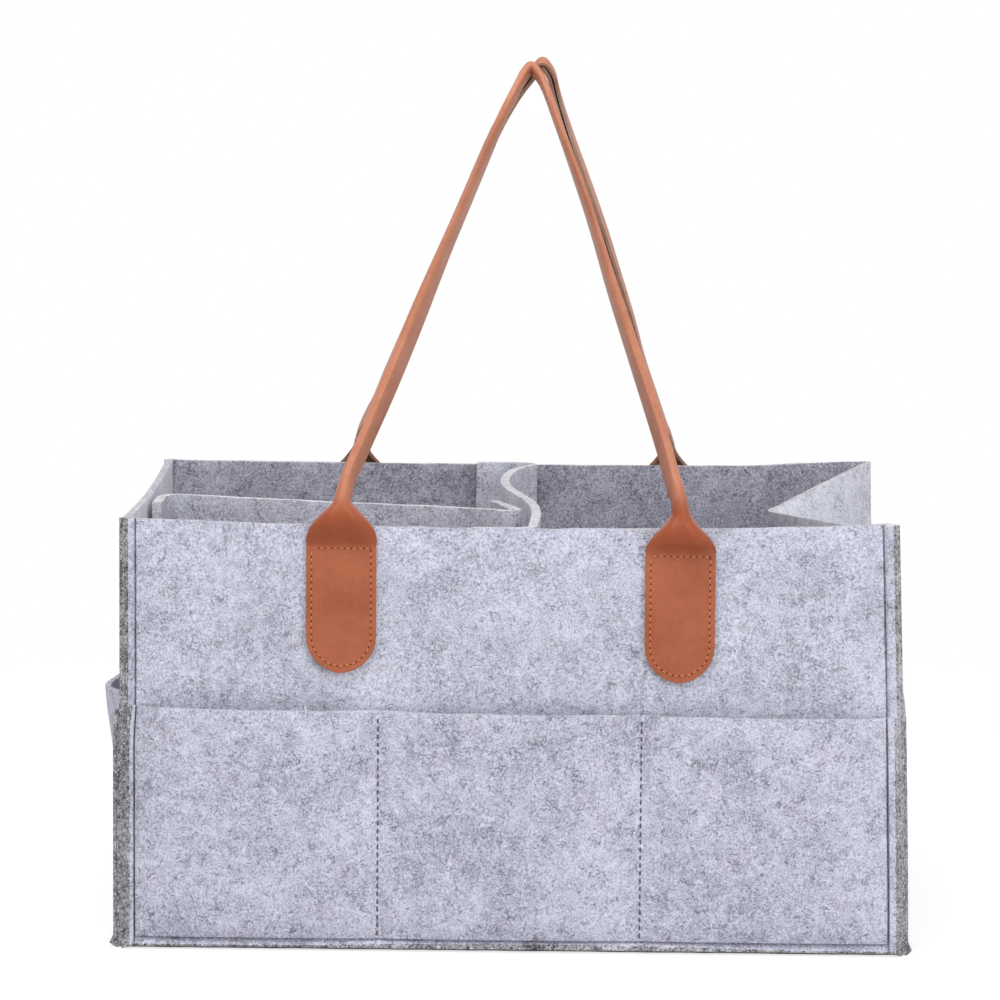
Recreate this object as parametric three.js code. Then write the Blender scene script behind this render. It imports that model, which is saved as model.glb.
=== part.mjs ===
import * as THREE from 'three';

// A felt storage caddy with two folded leather handles, outside pockets and two loose dividers.
// X runs left to right, Y runs front to back, Z is up. The origin is under the middle of the caddy,
// in the plane of the lower edges that it rests on. All lengths are millimetres.

// Body
const cornerLength = 312.5;
const cornerDepth = 216.0;
const rimHeight = 178.0;
const feltThickness = 3.0;
const seamGap = 0.3;
const frontRimSag = 2.6;
const backRimSag = 0.8;
const frontWallBow = 2.2;
const leftWallBow = 1.5;
const apexDip = 6.5;
const gussetDepth = 49.0;

// Outward raw edges of the seams
const cornerFlange = 4.2;
const bottomSeamHeight = 4.4;

// Outside pockets
const pocketFelt = 2.4;
const frontPocketBulge = 7.0;
const backPocketBulge = 7.2;
const leftPocketBulge = 11.0;
const rightPocketBulge = 7.0;

// Leather tabs, which are stitched to the front and the back
const tabWidth = 29.0;
const tabSpacing = 139.0;
const leatherThickness = 1.8;
const tabPlateLength = 52.5;
const stitchDrop = 11.0;
const tabPocketSpace = 15.5;
const tabPuff = 3.6;
const neckWidth = 9.0;

// Folded leather straps
const handleHeight = 200.0;
const strapThickness = 4.4;
const strapDepth = 11.0;
const strapSlit = 1.0;
const pivotRise = 10.5;
const pivotOutset = 5.0;
const neckGap = 0.3;
const backNeckShift = -3.6;
const backApexShift = 4.7;

// Loose dividers and the hook strips on their folded ends
const dividerFelt = 4.0;
const dividerHeight = 172.0;
const dividerSeat = 0.3;
const stripThickness = 1.2;
const stripGap = 0.3;
const stripWidth = 20.0;
const stripMargin = 12.0;
const tabReach = 25.0;
const splayReach = 40.0;
const splayOffset = 10.0;
const foldRadius = 3.5;
const cornerPlanFromFront = 47.0;
const leftTabReach = 24.0;
const leftBendFromFront = 92.0;

// Angles, shares and counts: these have no unit
const leftCornerTurn = THREE.MathUtils.degToRad(57);
const rightCornerTurn = THREE.MathUtils.degToRad(38);
const bottomTurn = THREE.MathUtils.degToRad(20);
const handleSwing = THREE.MathUtils.degToRad(160);
const wallRowShares = [0.22, 0.4, 0.55, 0.7, 0.85, 1];
const pocketRowShares = [0.3, 0.55, 0.8, 1];
const longWallShares = [-1, -0.85, -0.68, -0.5, -0.34, -0.17, 0, 0.17, 0.34, 0.5, 0.68, 0.85, 1];
const shortWallShares = [-1, -0.75, -0.5, -0.25, 0, 0.25, 0.5, 0.75, 1];
const pocketJoinShares = [-0.347, 0.342];
const pocketSpanShares = [0.1, 0.25, 0.5, 0.75, 0.9];
const sidePocketShares = [-1, -0.88, -0.72, -0.4, 0, 0.4, 0.72, 0.88, 1];
const gussetShares = [
  [-1, 0], [-0.96, 0.12], [-0.92, 0.235], [-0.84, 0.355], [-0.6, 0.58], [-0.3, 0.84], [-0.14, 0.97],
  [-0.1, 1], [-0.06, 0.985], [0.2, 0.74], [0.5, 0.45], [0.8, 0.17], [1, 0],
];
const gussetPower = 1.6;
const bulgePower = 3;
const pocketTaper = 0.6;

// Path of a folded strap in its own plane, from the left neck over the top to the right neck:
// sideways as a share of the tab spacing, then up the leaning plane as a share of the handle height
const strapPathShares = [
  [-0.4849, 0], [-0.4748, 0.044], [-0.4442, 0.112], [-0.3542, 0.296], [-0.263, 0.483], [-0.1645, 0.672],
  [-0.0629, 0.865], [-0.0016, 0.962], [0.0161, 0.987], [0.034, 1], [0.0524, 0.987], [0.0711, 0.963],
  [0.1181, 0.866], [0.2052, 0.675], [0.279, 0.4865], [0.3545, 0.301], [0.4276, 0.118], [0.463, 0.033],
  [0.4813, 0],
];
const strapSpanSteps = 2;
const strapEndShares = [0, 0.45, 0.8, 0.97];
const strapSectionShares = [
  [-1, 1], [-1, -0.55], [-0.72, -0.86], [0, -1], [0.72, -0.86], [1, -0.55], [1, 1],
];
const slitDepthShare = 0.35;

// Plan of the S-shaped divider between its two folded ends: share of the half length, share of the
// depth counted from the front.
const centreDividerShares = [
  [0.055, 0.113], [0.058, 0.21], [0.055, 0.3], [0.045, 0.37], [0.023, 0.45], [-0.008, 0.54], [-0.03, 0.627],
  [-0.037, 0.7], [-0.034, 0.78], [-0.018, 0.865], [0.012, 0.925],
];
const frontFoldShare = 0.053;
const cornerPlanShare = 0.045;
const dividerSpanSteps = 2;

const colours = {
  felt: 0xc0c2d2,
  pocketFelt: 0xb6b8c9,
  insideFelt: 0xa9a9b6,
  leather: 0xac6a4c,
  strap: 0xbd7f68,
  strip: 0x8b8c94,
};

function felt(colour) {
  return new THREE.MeshStandardMaterial({ color: colour, roughness: 0.95, metalness: 0 });
}

function leather(colour) {
  return new THREE.MeshStandardMaterial({ color: colour, roughness: 0.5, metalness: 0 });
}

const caddy = new THREE.Group();
caddy.name = 'caddy';

function addPiece(name, geometry, material) {
  const mesh = new THREE.Mesh(geometry, material);
  mesh.name = name;
  caddy.add(mesh);
}

// Closed solids from triangles, turned so that they face outwards
function solidFromTriangles(points, triangles) {
  let volume = 0;
  for (const [a, b, c] of triangles) {
    volume += points[a].dot(points[b].clone().cross(points[c]));
  }
  const positions = [];
  for (const [a, b, c] of triangles) {
    const order = volume > 0 ? [a, b, c] : [a, c, b];
    for (const index of order) {
      positions.push(points[index].x, points[index].y, points[index].z);
    }
  }
  const geometry = new THREE.BufferGeometry();
  geometry.setAttribute('position', new THREE.Float32BufferAttribute(positions, 3));
  geometry.computeVertexNormals();
  return geometry;
}

// A thick sheet between two grids of points; cells that are not present are left open
function sheetSolid(outer, inner, present = () => true) {
  const rows = outer.length;
  const columns = outer[0].length;
  const points = [...outer.flat(), ...inner.flat()];
  const triangles = [];
  const front = (i, j) => i * columns + j;
  const back = (i, j) => rows * columns + front(i, j);
  const has = (i, j) => i >= 0 && j >= 0 && i < rows - 1 && j < columns - 1 && present(i, j);
  const quad = (a, b, c, d) => triangles.push([a, b, c], [a, c, d]);
  for (let i = 0; i < rows - 1; i += 1) {
    for (let j = 0; j < columns - 1; j += 1) {
      if (!has(i, j)) continue;
      quad(front(i, j), front(i, j + 1), front(i + 1, j + 1), front(i + 1, j));
      quad(back(i, j), back(i + 1, j), back(i + 1, j + 1), back(i, j + 1));
      if (!has(i - 1, j)) quad(front(i, j + 1), front(i, j), back(i, j), back(i, j + 1));
      if (!has(i + 1, j)) quad(front(i + 1, j), front(i + 1, j + 1), back(i + 1, j + 1), back(i + 1, j));
      if (!has(i, j - 1)) quad(front(i, j), front(i + 1, j), back(i + 1, j), back(i, j));
      if (!has(i, j + 1)) quad(front(i + 1, j + 1), front(i, j + 1), back(i, j + 1), back(i + 1, j + 1));
    }
  }
  return solidFromTriangles(points, triangles);
}

// Plan line shifted to its left by a distance, with mitred corners
function offsetLine(line, distance) {
  const normals = [];
  for (let k = 0; k < line.length - 1; k += 1) {
    const step = line[k + 1].clone().sub(line[k]).normalize();
    normals.push(new THREE.Vector2(-step.y, step.x));
  }
  return line.map((point, k) => {
    const before = normals[Math.max(k - 1, 0)];
    const after = normals[Math.min(k, normals.length - 1)];
    const mitre = before.clone().add(after).multiplyScalar(distance / (1 + before.dot(after)));
    return point.clone().add(mitre);
  });
}

// Smooth line through a few points, with the same number of steps between each two
function smoothLine(points, spanSteps) {
  const places = points.map((point) => new THREE.Vector3(point.x, point.y, 0));
  const curve = new THREE.CatmullRomCurve3(places, false, 'centripetal');
  const steps = spanSteps * (points.length - 1);
  return curve.getPoints(steps).map((place) => new THREE.Vector2(place.x, place.y));
}

// Sewn walls. Each side has its own direction along the wall, its own outward direction, and the
// angles by which its raw edges turn out at its first and its last corner.
const halfLength = cornerLength / 2;
const halfDepth = cornerDepth / 2;
const leftSideTurn = Math.PI / 2 - leftCornerTurn;
const rightSideTurn = Math.PI / 2 - rightCornerTurn;

function wallSide(along, out, reach, away, turns) {
  return { along, out, reach, away, turns };
}

const sides = {
  front: wallSide([1, 0], [0, -1], halfLength, halfDepth, [leftCornerTurn, rightCornerTurn]),
  back: wallSide([-1, 0], [0, 1], halfLength, halfDepth, [rightCornerTurn, leftCornerTurn]),
  left: wallSide([0, -1], [-1, 0], halfDepth, halfLength, [leftSideTurn, leftSideTurn]),
  right: wallSide([0, 1], [1, 0], halfDepth, halfLength, [rightSideTurn, rightSideTurn]),
};

function placeOnSide(side, along, out, height) {
  const x = side.along[0] * along + side.out[0] * (side.away + out);
  const y = side.along[1] * along + side.out[1] * (side.away + out);
  return new THREE.Vector3(x, y, height);
}

// Plan line of the contact faces: one raw edge, the wall, the other raw edge
function contactLine(side, shares, outward) {
  const [first, last] = side.turns.map((turn) => (
    new THREE.Vector2(side.reach + Math.cos(turn) * cornerFlange, Math.sin(turn) * cornerFlange)
  ));
  const wall = shares.map((share) => new THREE.Vector2(share * side.reach, outward(share)));
  return [new THREE.Vector2(-first.x, first.y), ...wall, last];
}

// Heights of the rows of a wall or a pocket: lower edge, seam line, then up to its top
function wallSurface(side, shares, layer, rows, wall) {
  const surface = [];
  const spread = bottomSeamHeight * Math.tan(bottomTurn);
  const lowest = layer * Math.sin(bottomTurn);
  const crease = bottomSeamHeight + layer * Math.tan(bottomTurn / 2);
  const heights = [lowest, crease, ...rows.map((share) => share * wall.height)];
  heights.forEach((height, row) => {
    const level = row === 0 ? 0 : height;
    const line = contactLine(side, shares, (share) => (row < 2 ? 0 : wall.outward(share, level)));
    const shifted = offsetLine(line, layer);
    surface.push(shifted.map((point, column) => {
      const share = line[column].x / side.reach;
      const drop = row < 2 ? 0 : wall.drop(share, level);
      const turnedOut = row === 0 ? spread : 0;
      return placeOnSide(side, point.x, point.y + turnedOut, height - drop);
    }));
  });
  return surface;
}

function sewnPanel(side, shares, rows, firstLayer, thickness, wall) {
  const inner = wallSurface(side, shares, firstLayer, rows, wall);
  const outer = wallSurface(side, shares, firstLayer + thickness, rows, wall);
  return sheetSolid(outer, inner);
}

function archShare(share) {
  return Math.max(0, 1 - share * share);
}

// Sag of a rim between its corners, fading out below it
function sagDrop(sag) {
  return (share, height) => sag * archShare(share) * (height / rimHeight) ** 4;
}

function bowOutward(bow) {
  return (share, height) => bow * archShare(share) * (height / rimHeight);
}

// Share of the inward fold at one place along the right wall
function gussetFold(share) {
  const place = Math.min(1, Math.max(-1, share));
  const k = Math.max(1, gussetShares.findIndex(([station]) => station >= place));
  const [fromStation, fromFold] = gussetShares[k - 1];
  const [toStation, toFold] = gussetShares[k];
  return fromFold + ((place - fromStation) / (toStation - fromStation)) * (toFold - fromFold);
}

function gussetOutward(push) {
  return (share, height) => -push * gussetFold(share) * (height / rimHeight) ** gussetPower;
}

const firstLayer = seamGap / 2;
const pocketLayer = firstLayer + feltThickness + seamGap;

// Heights of the tabs on the wall, and of the pockets below them
const tabStitchHeight = rimHeight - stitchDrop;
const tabLowerEnd = tabStitchHeight - tabPlateLength;
const pocketHeight = tabLowerEnd - tabPocketSpace;

const frontWall = { height: rimHeight, outward: bowOutward(frontWallBow), drop: sagDrop(frontRimSag) };
const backWall = { height: rimHeight, outward: () => 0, drop: sagDrop(backRimSag) };
const leftWall = { height: rimHeight, outward: bowOutward(-leftWallBow), drop: sagDrop(backRimSag) };
const rightWall = {
  height: rimHeight,
  outward: gussetOutward(gussetDepth),
  drop: (share, height) => apexDip * gussetFold(share) * (height / rimHeight) ** 4,
};

function buildWalls() {
  const panel = (side, shares, wall) => (
    sewnPanel(side, shares, wallRowShares, firstLayer, feltThickness, wall)
  );
  const gussetLine = gussetShares.map(([share]) => share);
  addPiece('front_panel', panel(sides.front, longWallShares, frontWall), felt(colours.felt));
  addPiece('back_panel', panel(sides.back, longWallShares, backWall), felt(colours.felt));
  addPiece('left_side_panel', panel(sides.left, shortWallShares, leftWall), felt(colours.felt));
  addPiece('right_side_panel', panel(sides.right, gussetLine, rightWall), felt(colours.felt));
}

// Bottom: a flat panel whose four edges are bent down into the seams, with open corners
function buildBottom() {
  const surface = (layer) => {
    const inset = layer * Math.tan((Math.PI / 2 - bottomTurn) / 2);
    const height = bottomSeamHeight - layer;
    const spread = (bottomSeamHeight * Math.tan(bottomTurn)) - layer / Math.cos(bottomTurn);
    const stations = (half) => {
      const crease = half - inset;
      return [-half - spread, -crease, -crease / 3, crease / 3, crease, half + spread];
    };
    const alongX = stations(halfLength);
    const alongY = stations(halfDepth);
    const last = alongX.length - 1;
    return alongX.map((x, i) => alongY.map((y, j) => {
      const flap = i === 0 || j === 0 || i === last || j === last;
      return new THREE.Vector3(x, y, flap ? 0 : height);
    }));
  };
  const cells = 5;
  const atEdge = (k) => k === 0 || k === cells - 1;
  const present = (i, j) => !(atEdge(i) && atEdge(j));
  const bottom = sheetSolid(surface(firstLayer), surface(firstLayer + feltThickness), present);
  addPiece('bottom_panel', bottom, felt(colours.insideFelt));
}

// Pockets
function pocketStations(joins) {
  const ends = [-1, ...joins, 1];
  const shares = [-1];
  for (let k = 0; k < ends.length - 1; k += 1) {
    const span = ends[k + 1] - ends[k];
    for (const share of pocketSpanShares) shares.push(ends[k] + share * span);
    shares.push(ends[k + 1]);
  }
  return shares;
}

// Height of the pocket's arch over its wall at one place
function pocketBulge(joins, bulge, power) {
  const ends = [-1, ...joins, 1];
  return (share, height) => {
    const k = Math.max(0, ends.findIndex((end) => end >= share) - 1);
    const across = (2 * (share - ends[k])) / (ends[k + 1] - ends[k]) - 1;
    const arch = Math.max(0, 1 - Math.abs(across) ** power);
    return bulge * arch * Math.min(1, height / pocketHeight) ** pocketTaper;
  };
}

function pocketPanel(side, shares, bulge, wall) {
  const pocket = {
    height: pocketHeight,
    outward: (share, height) => wall.outward(share, height) + bulge(share, height),
    drop: () => 0,
  };
  return sewnPanel(side, shares, pocketRowShares, pocketLayer, pocketFelt, pocket);
}

function buildPockets() {
  const rowShares = pocketStations(pocketJoinShares);
  const rowBulge = (bulge) => pocketBulge(pocketJoinShares, bulge, bulgePower);
  const sideBulge = (bulge) => pocketBulge([], bulge, 2);
  const straightWall = { outward: () => 0 };
  const front = pocketPanel(sides.front, rowShares, rowBulge(frontPocketBulge), frontWall);
  const back = pocketPanel(sides.back, rowShares, rowBulge(backPocketBulge), backWall);
  const left = pocketPanel(sides.left, sidePocketShares, sideBulge(leftPocketBulge), leftWall);
  const right = pocketPanel(sides.right, sidePocketShares, sideBulge(rightPocketBulge), straightWall);
  addPiece('front_pocket_panel', front, felt(colours.pocketFelt));
  addPiece('back_pocket_panel', back, felt(colours.pocketFelt));
  addPiece('left_pocket_panel', left, felt(colours.pocketFelt));
  addPiece('right_pocket_panel', right, felt(colours.pocketFelt));
}

// Leather tabs: a stadium end, a flat plate, then a puffed funnel that folds towards the neck
const tabColumnShares = [-1, -0.72, -0.36, 0, 0.36, 0.72, 1];
const tabEndShares = [0.02, 0.14, 0.36, 0.66, 1];
const shoulderShare = 0.62;
const shoulderLeanShare = 0.6;
const pivotHeight = rimHeight + pivotRise;
const pivotOffset = halfDepth + pivotOutset;

// Each strap leans until its open side is a gap short of the middle, where it meets the other one.
const apexReach = handleHeight + strapThickness / 2;
const handleLean = (
  Math.asin((pivotOffset - neckGap) / Math.hypot(apexReach, strapDepth / 2))
  - Math.atan2(strapDepth / 2, apexReach)
);
const swingRest = Math.PI - handleSwing + handleLean;
const funnelShares = [
  { up: 0, wide: 1, puff: 0 },
  { up: 0.18, wide: 1, puff: 0.55 },
  { up: 0.45, wide: 0.97, puff: 0.9 },
  { up: 0.72, wide: 0.9, puff: 1 },
];

function tabRows(seatOffset) {
  const radius = tabWidth / 2;
  const flatFront = seatOffset + leatherThickness;
  const rows = [];
  for (const share of tabEndShares) {
    const height = tabLowerEnd + share * radius;
    const half = radius * Math.sqrt(1 - (1 - share) ** 2);
    rows.push({ half, frontHeight: height, backHeight: height, front: flatFront, back: seatOffset, puff: 0 });
  }
  const rimClear = rimHeight + neckGap;
  for (const { up, wide, puff } of funnelShares) {
    const height = tabStitchHeight + up * (rimClear - tabStitchHeight);
    rows.push({
      half: radius * wide,
      frontHeight: height,
      backHeight: height,
      front: flatFront,
      back: seatOffset,
      puff: tabPuff * puff,
    });
  }
  // The top is cut on the slope that the strap lies along when it hangs down in front of it
  const strapRadius = strapDepth / 2 + neckGap;
  const neckFront = pivotOffset + strapDepth / 2;
  const frontDrop = (strapRadius + (Math.cos(swingRest) * strapDepth) / 2) / Math.sin(swingRest);
  rows.push({
    half: (tabWidth * shoulderShare) / 2,
    frontHeight: pivotHeight - frontDrop - neckGap,
    backHeight: rimClear,
    front: flatFront,
    back: seatOffset,
    puff: tabPuff,
  });
  rows.push({
    half: neckWidth / 2,
    frontHeight: pivotHeight - frontDrop,
    backHeight: pivotHeight - Math.sin(swingRest) * strapRadius,
    front: neckFront,
    back: pivotOffset - Math.cos(swingRest) * strapRadius,
    puff: 0,
  });
  return rows;
}

function buildTab(name, outward, centreX, neckX, seatOffset) {
  const rows = tabRows(seatOffset);
  const outer = [];
  const inner = [];
  rows.forEach((row, index) => {
    const fromTop = rows.length - 1 - index;
    const lean = [1, shoulderLeanShare][fromTop] ?? 0;
    const middle = centreX + (neckX - centreX) * lean;
    outer.push(tabColumnShares.map((share) => {
      const puff = row.puff * archShare(share);
      return new THREE.Vector3(middle + share * row.half, outward * (row.front + puff), row.frontHeight);
    }));
    inner.push(tabColumnShares.map((share) => (
      new THREE.Vector3(middle + share * row.half, outward * row.back, row.backHeight)
    )));
  });
  addPiece(name, sheetSolid(outer, inner), leather(colours.leather));
}

function buildTabs() {
  const seatAt = (wall, x) => {
    const bow = wall.outward(x / halfLength, rimHeight);
    return halfDepth + firstLayer + feltThickness + Math.max(bow, 0) + seamGap;
  };
  const tabX = tabSpacing / 2;
  const leftNeck = strapPathShares[0][0] * tabSpacing;
  const rightNeck = strapPathShares.at(-1)[0] * tabSpacing;
  const frontSeat = seatAt(frontWall, tabX);
  const backSeat = seatAt(backWall, tabX);
  buildTab('front_handle_left_tab', -1, -tabX, leftNeck, frontSeat);
  buildTab('front_handle_right_tab', -1, tabX, rightNeck, frontSeat);
  buildTab('back_handle_left_tab', 1, backNeckShift - tabX, leftNeck + backNeckShift, backSeat);
  buildTab('back_handle_right_tab', 1, backNeckShift + tabX, rightNeck + backNeckShift, backSeat);
}

// Straps: one strip of leather folded along its length, open towards the other handle
function strapSection() {
  const halfThick = strapThickness / 2;
  const halfDepthOfStrap = strapDepth / 2;
  const halfSlit = strapSlit / 2;
  const slitEnd = -slitDepthShare * halfDepthOfStrap;
  const section = strapSectionShares.map(([across, deep]) => (
    new THREE.Vector2(across * halfThick, deep * halfDepthOfStrap)
  ));
  section.push(new THREE.Vector2(halfSlit, halfDepthOfStrap));
  section.push(new THREE.Vector2(halfSlit, slitEnd));
  section.push(new THREE.Vector2(-halfSlit, slitEnd));
  section.push(new THREE.Vector2(-halfSlit, halfDepthOfStrap));
  return section;
}

function strapStations(neckShift, apexShift) {
  const radius = strapDepth / 2;
  const places = strapPathShares.map(([across, up]) => {
    const shift = neckShift + (apexShift - neckShift) * up;
    return new THREE.Vector2(across * tabSpacing + shift, up * handleHeight);
  });
  const path = smoothLine(places, strapSpanSteps).map((point) => ({ point, deep: 1 }));
  const roundedEnd = (neck) => strapEndShares.slice(1).map((share) => ({
    point: new THREE.Vector2(neck.point.x, -share * radius),
    deep: Math.sqrt(1 - share * share),
  }));
  return [...roundedEnd(path[0]).reverse(), ...path, ...roundedEnd(path.at(-1))];
}

function buildStrap(name, outward, neckShift, apexShift) {
  const stations = strapStations(neckShift, apexShift);
  const section = strapSection();
  const up = new THREE.Vector3(0, -outward * Math.sin(handleLean), Math.cos(handleLean));
  const across = new THREE.Vector3(1, 0, 0);
  const inwards = new THREE.Vector3(0, -outward * Math.cos(handleLean), -Math.sin(handleLean));
  const pivot = new THREE.Vector3(0, outward * pivotOffset, pivotHeight);
  const points = [];
  stations.forEach(({ point, deep }, k) => {
    const before = stations[Math.max(k - 1, 0)].point;
    const after = stations[Math.min(k + 1, stations.length - 1)].point;
    const forward = after.clone().sub(before).normalize();
    const isEnd = point.y < 0 || k === 0 || k === stations.length - 1;
    if (isEnd) forward.set(0, k < stations.length / 2 ? 1 : -1);
    const side = new THREE.Vector2(-forward.y, forward.x);
    for (const corner of section) {
      const plane = point.clone().addScaledVector(side, corner.x);
      const spot = pivot.clone().addScaledVector(across, plane.x).addScaledVector(up, plane.y);
      points.push(spot.addScaledVector(inwards, corner.y * deep));
    }
  });
  const ring = section.length;
  const triangles = [];
  for (let k = 0; k < stations.length - 1; k += 1) {
    for (let s = 0; s < ring; s += 1) {
      const next = (s + 1) % ring;
      const a = k * ring + s;
      const b = k * ring + next;
      triangles.push([a, b, b + ring], [a, b + ring, a + ring]);
    }
  }
  const last = (stations.length - 1) * ring;
  for (const [a, b, c] of THREE.ShapeUtils.triangulateShape(section, [])) {
    triangles.push([a, c, b], [last + a, last + b, last + c]);
  }
  addPiece(name, solidFromTriangles(points, triangles), leather(colours.strap));
}

// Loose dividers: a felt strip that stands on its edge, with both ends folded into tabs
function wallPoint(across, fromFront) {
  return new THREE.Vector2(across, fromFront - halfDepth);
}

function standingSheet(line, thickness, lower, upper) {
  const left = offsetLine(line, thickness / 2);
  const right = offsetLine(line, -thickness / 2);
  const raise = (plan) => [lower, upper].map((height) => (
    plan.map((point) => new THREE.Vector3(point.x, point.y, height))
  ));
  return sheetSolid(raise(left), raise(right));
}

const dividerLower = bottomSeamHeight - firstLayer + dividerSeat;
const stripLower = dividerLower + stripMargin;
const stripUpper = dividerLower + dividerHeight - stripMargin;
const tabInset = stripGap + stripThickness + stripGap + dividerFelt / 2;
const stripInset = stripGap + stripThickness / 2;

function addStrip(name, from, to) {
  const strip = standingSheet([from, to], stripThickness, stripLower, stripUpper);
  addPiece(name, strip, felt(colours.strip));
}

function buildCentreDivider() {
  const frontTabY = tabInset;
  const backTabY = cornerDepth - tabInset + firstLayer;
  const frontFold = frontFoldShare * halfLength;
  const backFold = centreDividerShares.at(-1)[0] * halfLength + foldRadius;
  const wave = [
    wallPoint(frontFold, frontTabY + foldRadius),
    ...centreDividerShares.map(([across, along]) => wallPoint(across * halfLength, along * cornerDepth)),
    wallPoint(backFold, backTabY - 2 * foldRadius),
    wallPoint(backFold, backTabY - foldRadius),
  ];
  const line = [
    wallPoint(frontFold - tabReach, frontTabY),
    wallPoint(frontFold - foldRadius, frontTabY),
    ...smoothLine(wave, dividerSpanSteps),
    wallPoint(backFold - foldRadius, backTabY),
    wallPoint(backFold - tabReach, backTabY),
  ];
  const upper = dividerLower + dividerHeight;
  addPiece('centre_divider', standingSheet(line, dividerFelt, dividerLower, upper), felt(colours.insideFelt));
  const frontStripY = stripInset;
  const backStripY = cornerDepth - stripInset + firstLayer;
  const frontStripX = frontFold - foldRadius;
  const backStripX = backFold - foldRadius;
  addStrip(
    'centre_divider_front_hook_strip',
    wallPoint(frontStripX - stripWidth, frontStripY),
    wallPoint(frontStripX, frontStripY),
  );
  addStrip(
    'centre_divider_back_hook_strip',
    wallPoint(backStripX - stripWidth, backStripY),
    wallPoint(backStripX, backStripY),
  );
}

// The lengthwise divider leans against the S-shaped one with its splayed right end
function buildLongDivider() {
  const rightFace = cornerPlanShare * halfLength - dividerFelt / 2;
  const cornerX = rightFace - tabInset;
  const leftTabX = -halfLength + tabInset + leftWallBow;
  const corner = wallPoint(cornerX, cornerPlanFromFront);
  const bendEnd = leftBendFromFront + 2 * foldRadius;
  const line = [
    wallPoint(leftTabX, leftBendFromFront - leftTabReach),
    wallPoint(leftTabX, leftBendFromFront),
    wallPoint(leftTabX + foldRadius / 2, leftBendFromFront + foldRadius),
    wallPoint(leftTabX + foldRadius, bendEnd),
    wallPoint(leftTabX + 2 * foldRadius + dividerFelt / 2, bendEnd),
    new THREE.Vector2(corner.x - foldRadius, corner.y + foldRadius / 2),
    new THREE.Vector2(corner.x, corner.y + foldRadius),
    wallPoint(cornerX - splayOffset, cornerPlanFromFront + splayReach),
  ];
  const upper = dividerLower + dividerHeight;
  addPiece('long_divider', standingSheet(line, dividerFelt, dividerLower, upper), felt(colours.insideFelt));
  const leftStripX = -halfLength + stripInset + leftWallBow;
  addStrip(
    'long_divider_left_hook_strip',
    wallPoint(leftStripX, leftBendFromFront - stripWidth),
    wallPoint(leftStripX, leftBendFromFront),
  );
  const free = line.at(-1);
  const fold = line.at(-2);
  const run = free.clone().sub(fold).normalize();
  const face = new THREE.Vector2(run.y, -run.x).multiplyScalar(tabInset - stripInset);
  const start = fold.clone().addScaledVector(run, foldRadius * 2).add(face);
  addStrip('long_divider_right_hook_strip', start, start.clone().addScaledVector(run, stripWidth));
}

buildWalls();
buildBottom();
buildPockets();
buildTabs();
buildStrap('front_handle_strap', -1, 0, 0);
buildStrap('back_handle_strap', 1, backNeckShift, backApexShift);
buildCentreDivider();
buildLongDivider();

export default caddy;
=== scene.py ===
import math
import random

import bmesh
import bpy
from mathutils import Matrix, Vector, noise


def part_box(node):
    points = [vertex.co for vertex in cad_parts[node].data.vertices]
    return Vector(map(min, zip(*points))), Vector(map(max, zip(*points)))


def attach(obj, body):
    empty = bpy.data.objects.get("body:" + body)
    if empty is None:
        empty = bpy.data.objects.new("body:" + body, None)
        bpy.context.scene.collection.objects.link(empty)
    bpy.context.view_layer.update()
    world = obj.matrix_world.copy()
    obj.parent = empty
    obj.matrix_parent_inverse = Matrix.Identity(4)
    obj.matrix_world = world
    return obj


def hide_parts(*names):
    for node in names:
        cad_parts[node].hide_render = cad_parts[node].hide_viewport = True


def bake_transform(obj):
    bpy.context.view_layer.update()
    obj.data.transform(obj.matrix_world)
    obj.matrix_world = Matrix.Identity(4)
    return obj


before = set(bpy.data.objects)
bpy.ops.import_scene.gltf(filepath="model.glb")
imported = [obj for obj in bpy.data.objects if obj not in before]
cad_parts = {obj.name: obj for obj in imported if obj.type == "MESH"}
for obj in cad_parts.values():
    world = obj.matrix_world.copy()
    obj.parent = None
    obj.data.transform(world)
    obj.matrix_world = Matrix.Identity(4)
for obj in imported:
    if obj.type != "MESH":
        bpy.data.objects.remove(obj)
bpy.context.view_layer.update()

MM = 0.001

# Sizes of the caddy in millimetres, as in the part's source
HALF_LENGTH = 156.25
HALF_DEPTH = 108.0
RIM = 178.0
FELT = 3.0
GAP = 0.15
CLEAR = 0.3
FLANGE = 4.2
SEAM_UP = 4.4
POCKET_UP = 99.0
POCKET_FELT = 2.4
FIRST_POCKET = GAP + FELT + CLEAR
DIVIDER_FELT = 4.0
HOOK_THICK = 1.2
FRONT_BOW, LEFT_BOW = 2.2, -1.5
FRONT_SAG, BACK_SAG = 2.6, 0.8
GUSSET_PUSH, APEX_DIP = 49.0, 6.5
LEFT_TURN, RIGHT_TURN = math.radians(57), math.radians(38)
BACK_RIGHT_TURN = math.radians(80)
BOTTOM_TURN = math.radians(20)
LEAN = math.radians(32.3)
PIVOT_OUT = 113.0
PIVOT_UP = 188.5
HANDLE = 200.0
TAB_SPACING = 139.0
NECK_SHIFT, APEX_SHIFT = -3.6, 4.7
GUSSET = [
    (-1, 0), (-0.96, 0.12), (-0.92, 0.235), (-0.84, 0.355), (-0.6, 0.58), (-0.3, 0.84), (-0.14, 0.97),
    (-0.1, 1), (-0.06, 0.985), (0.2, 0.74), (0.5, 0.45), (0.8, 0.17), (1, 0),
]
JOINS = (-0.347, 0.342)


def lerp(table, x):
    """Straight lines through a table of points."""
    if x <= table[0][0]:
        return table[0][1]
    for (x0, y0), (x1, y1) in zip(table, table[1:]):
        if x <= x1:
            return y0 + (y1 - y0) * (x - x0) / (x1 - x0)
    return table[-1][1]


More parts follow.
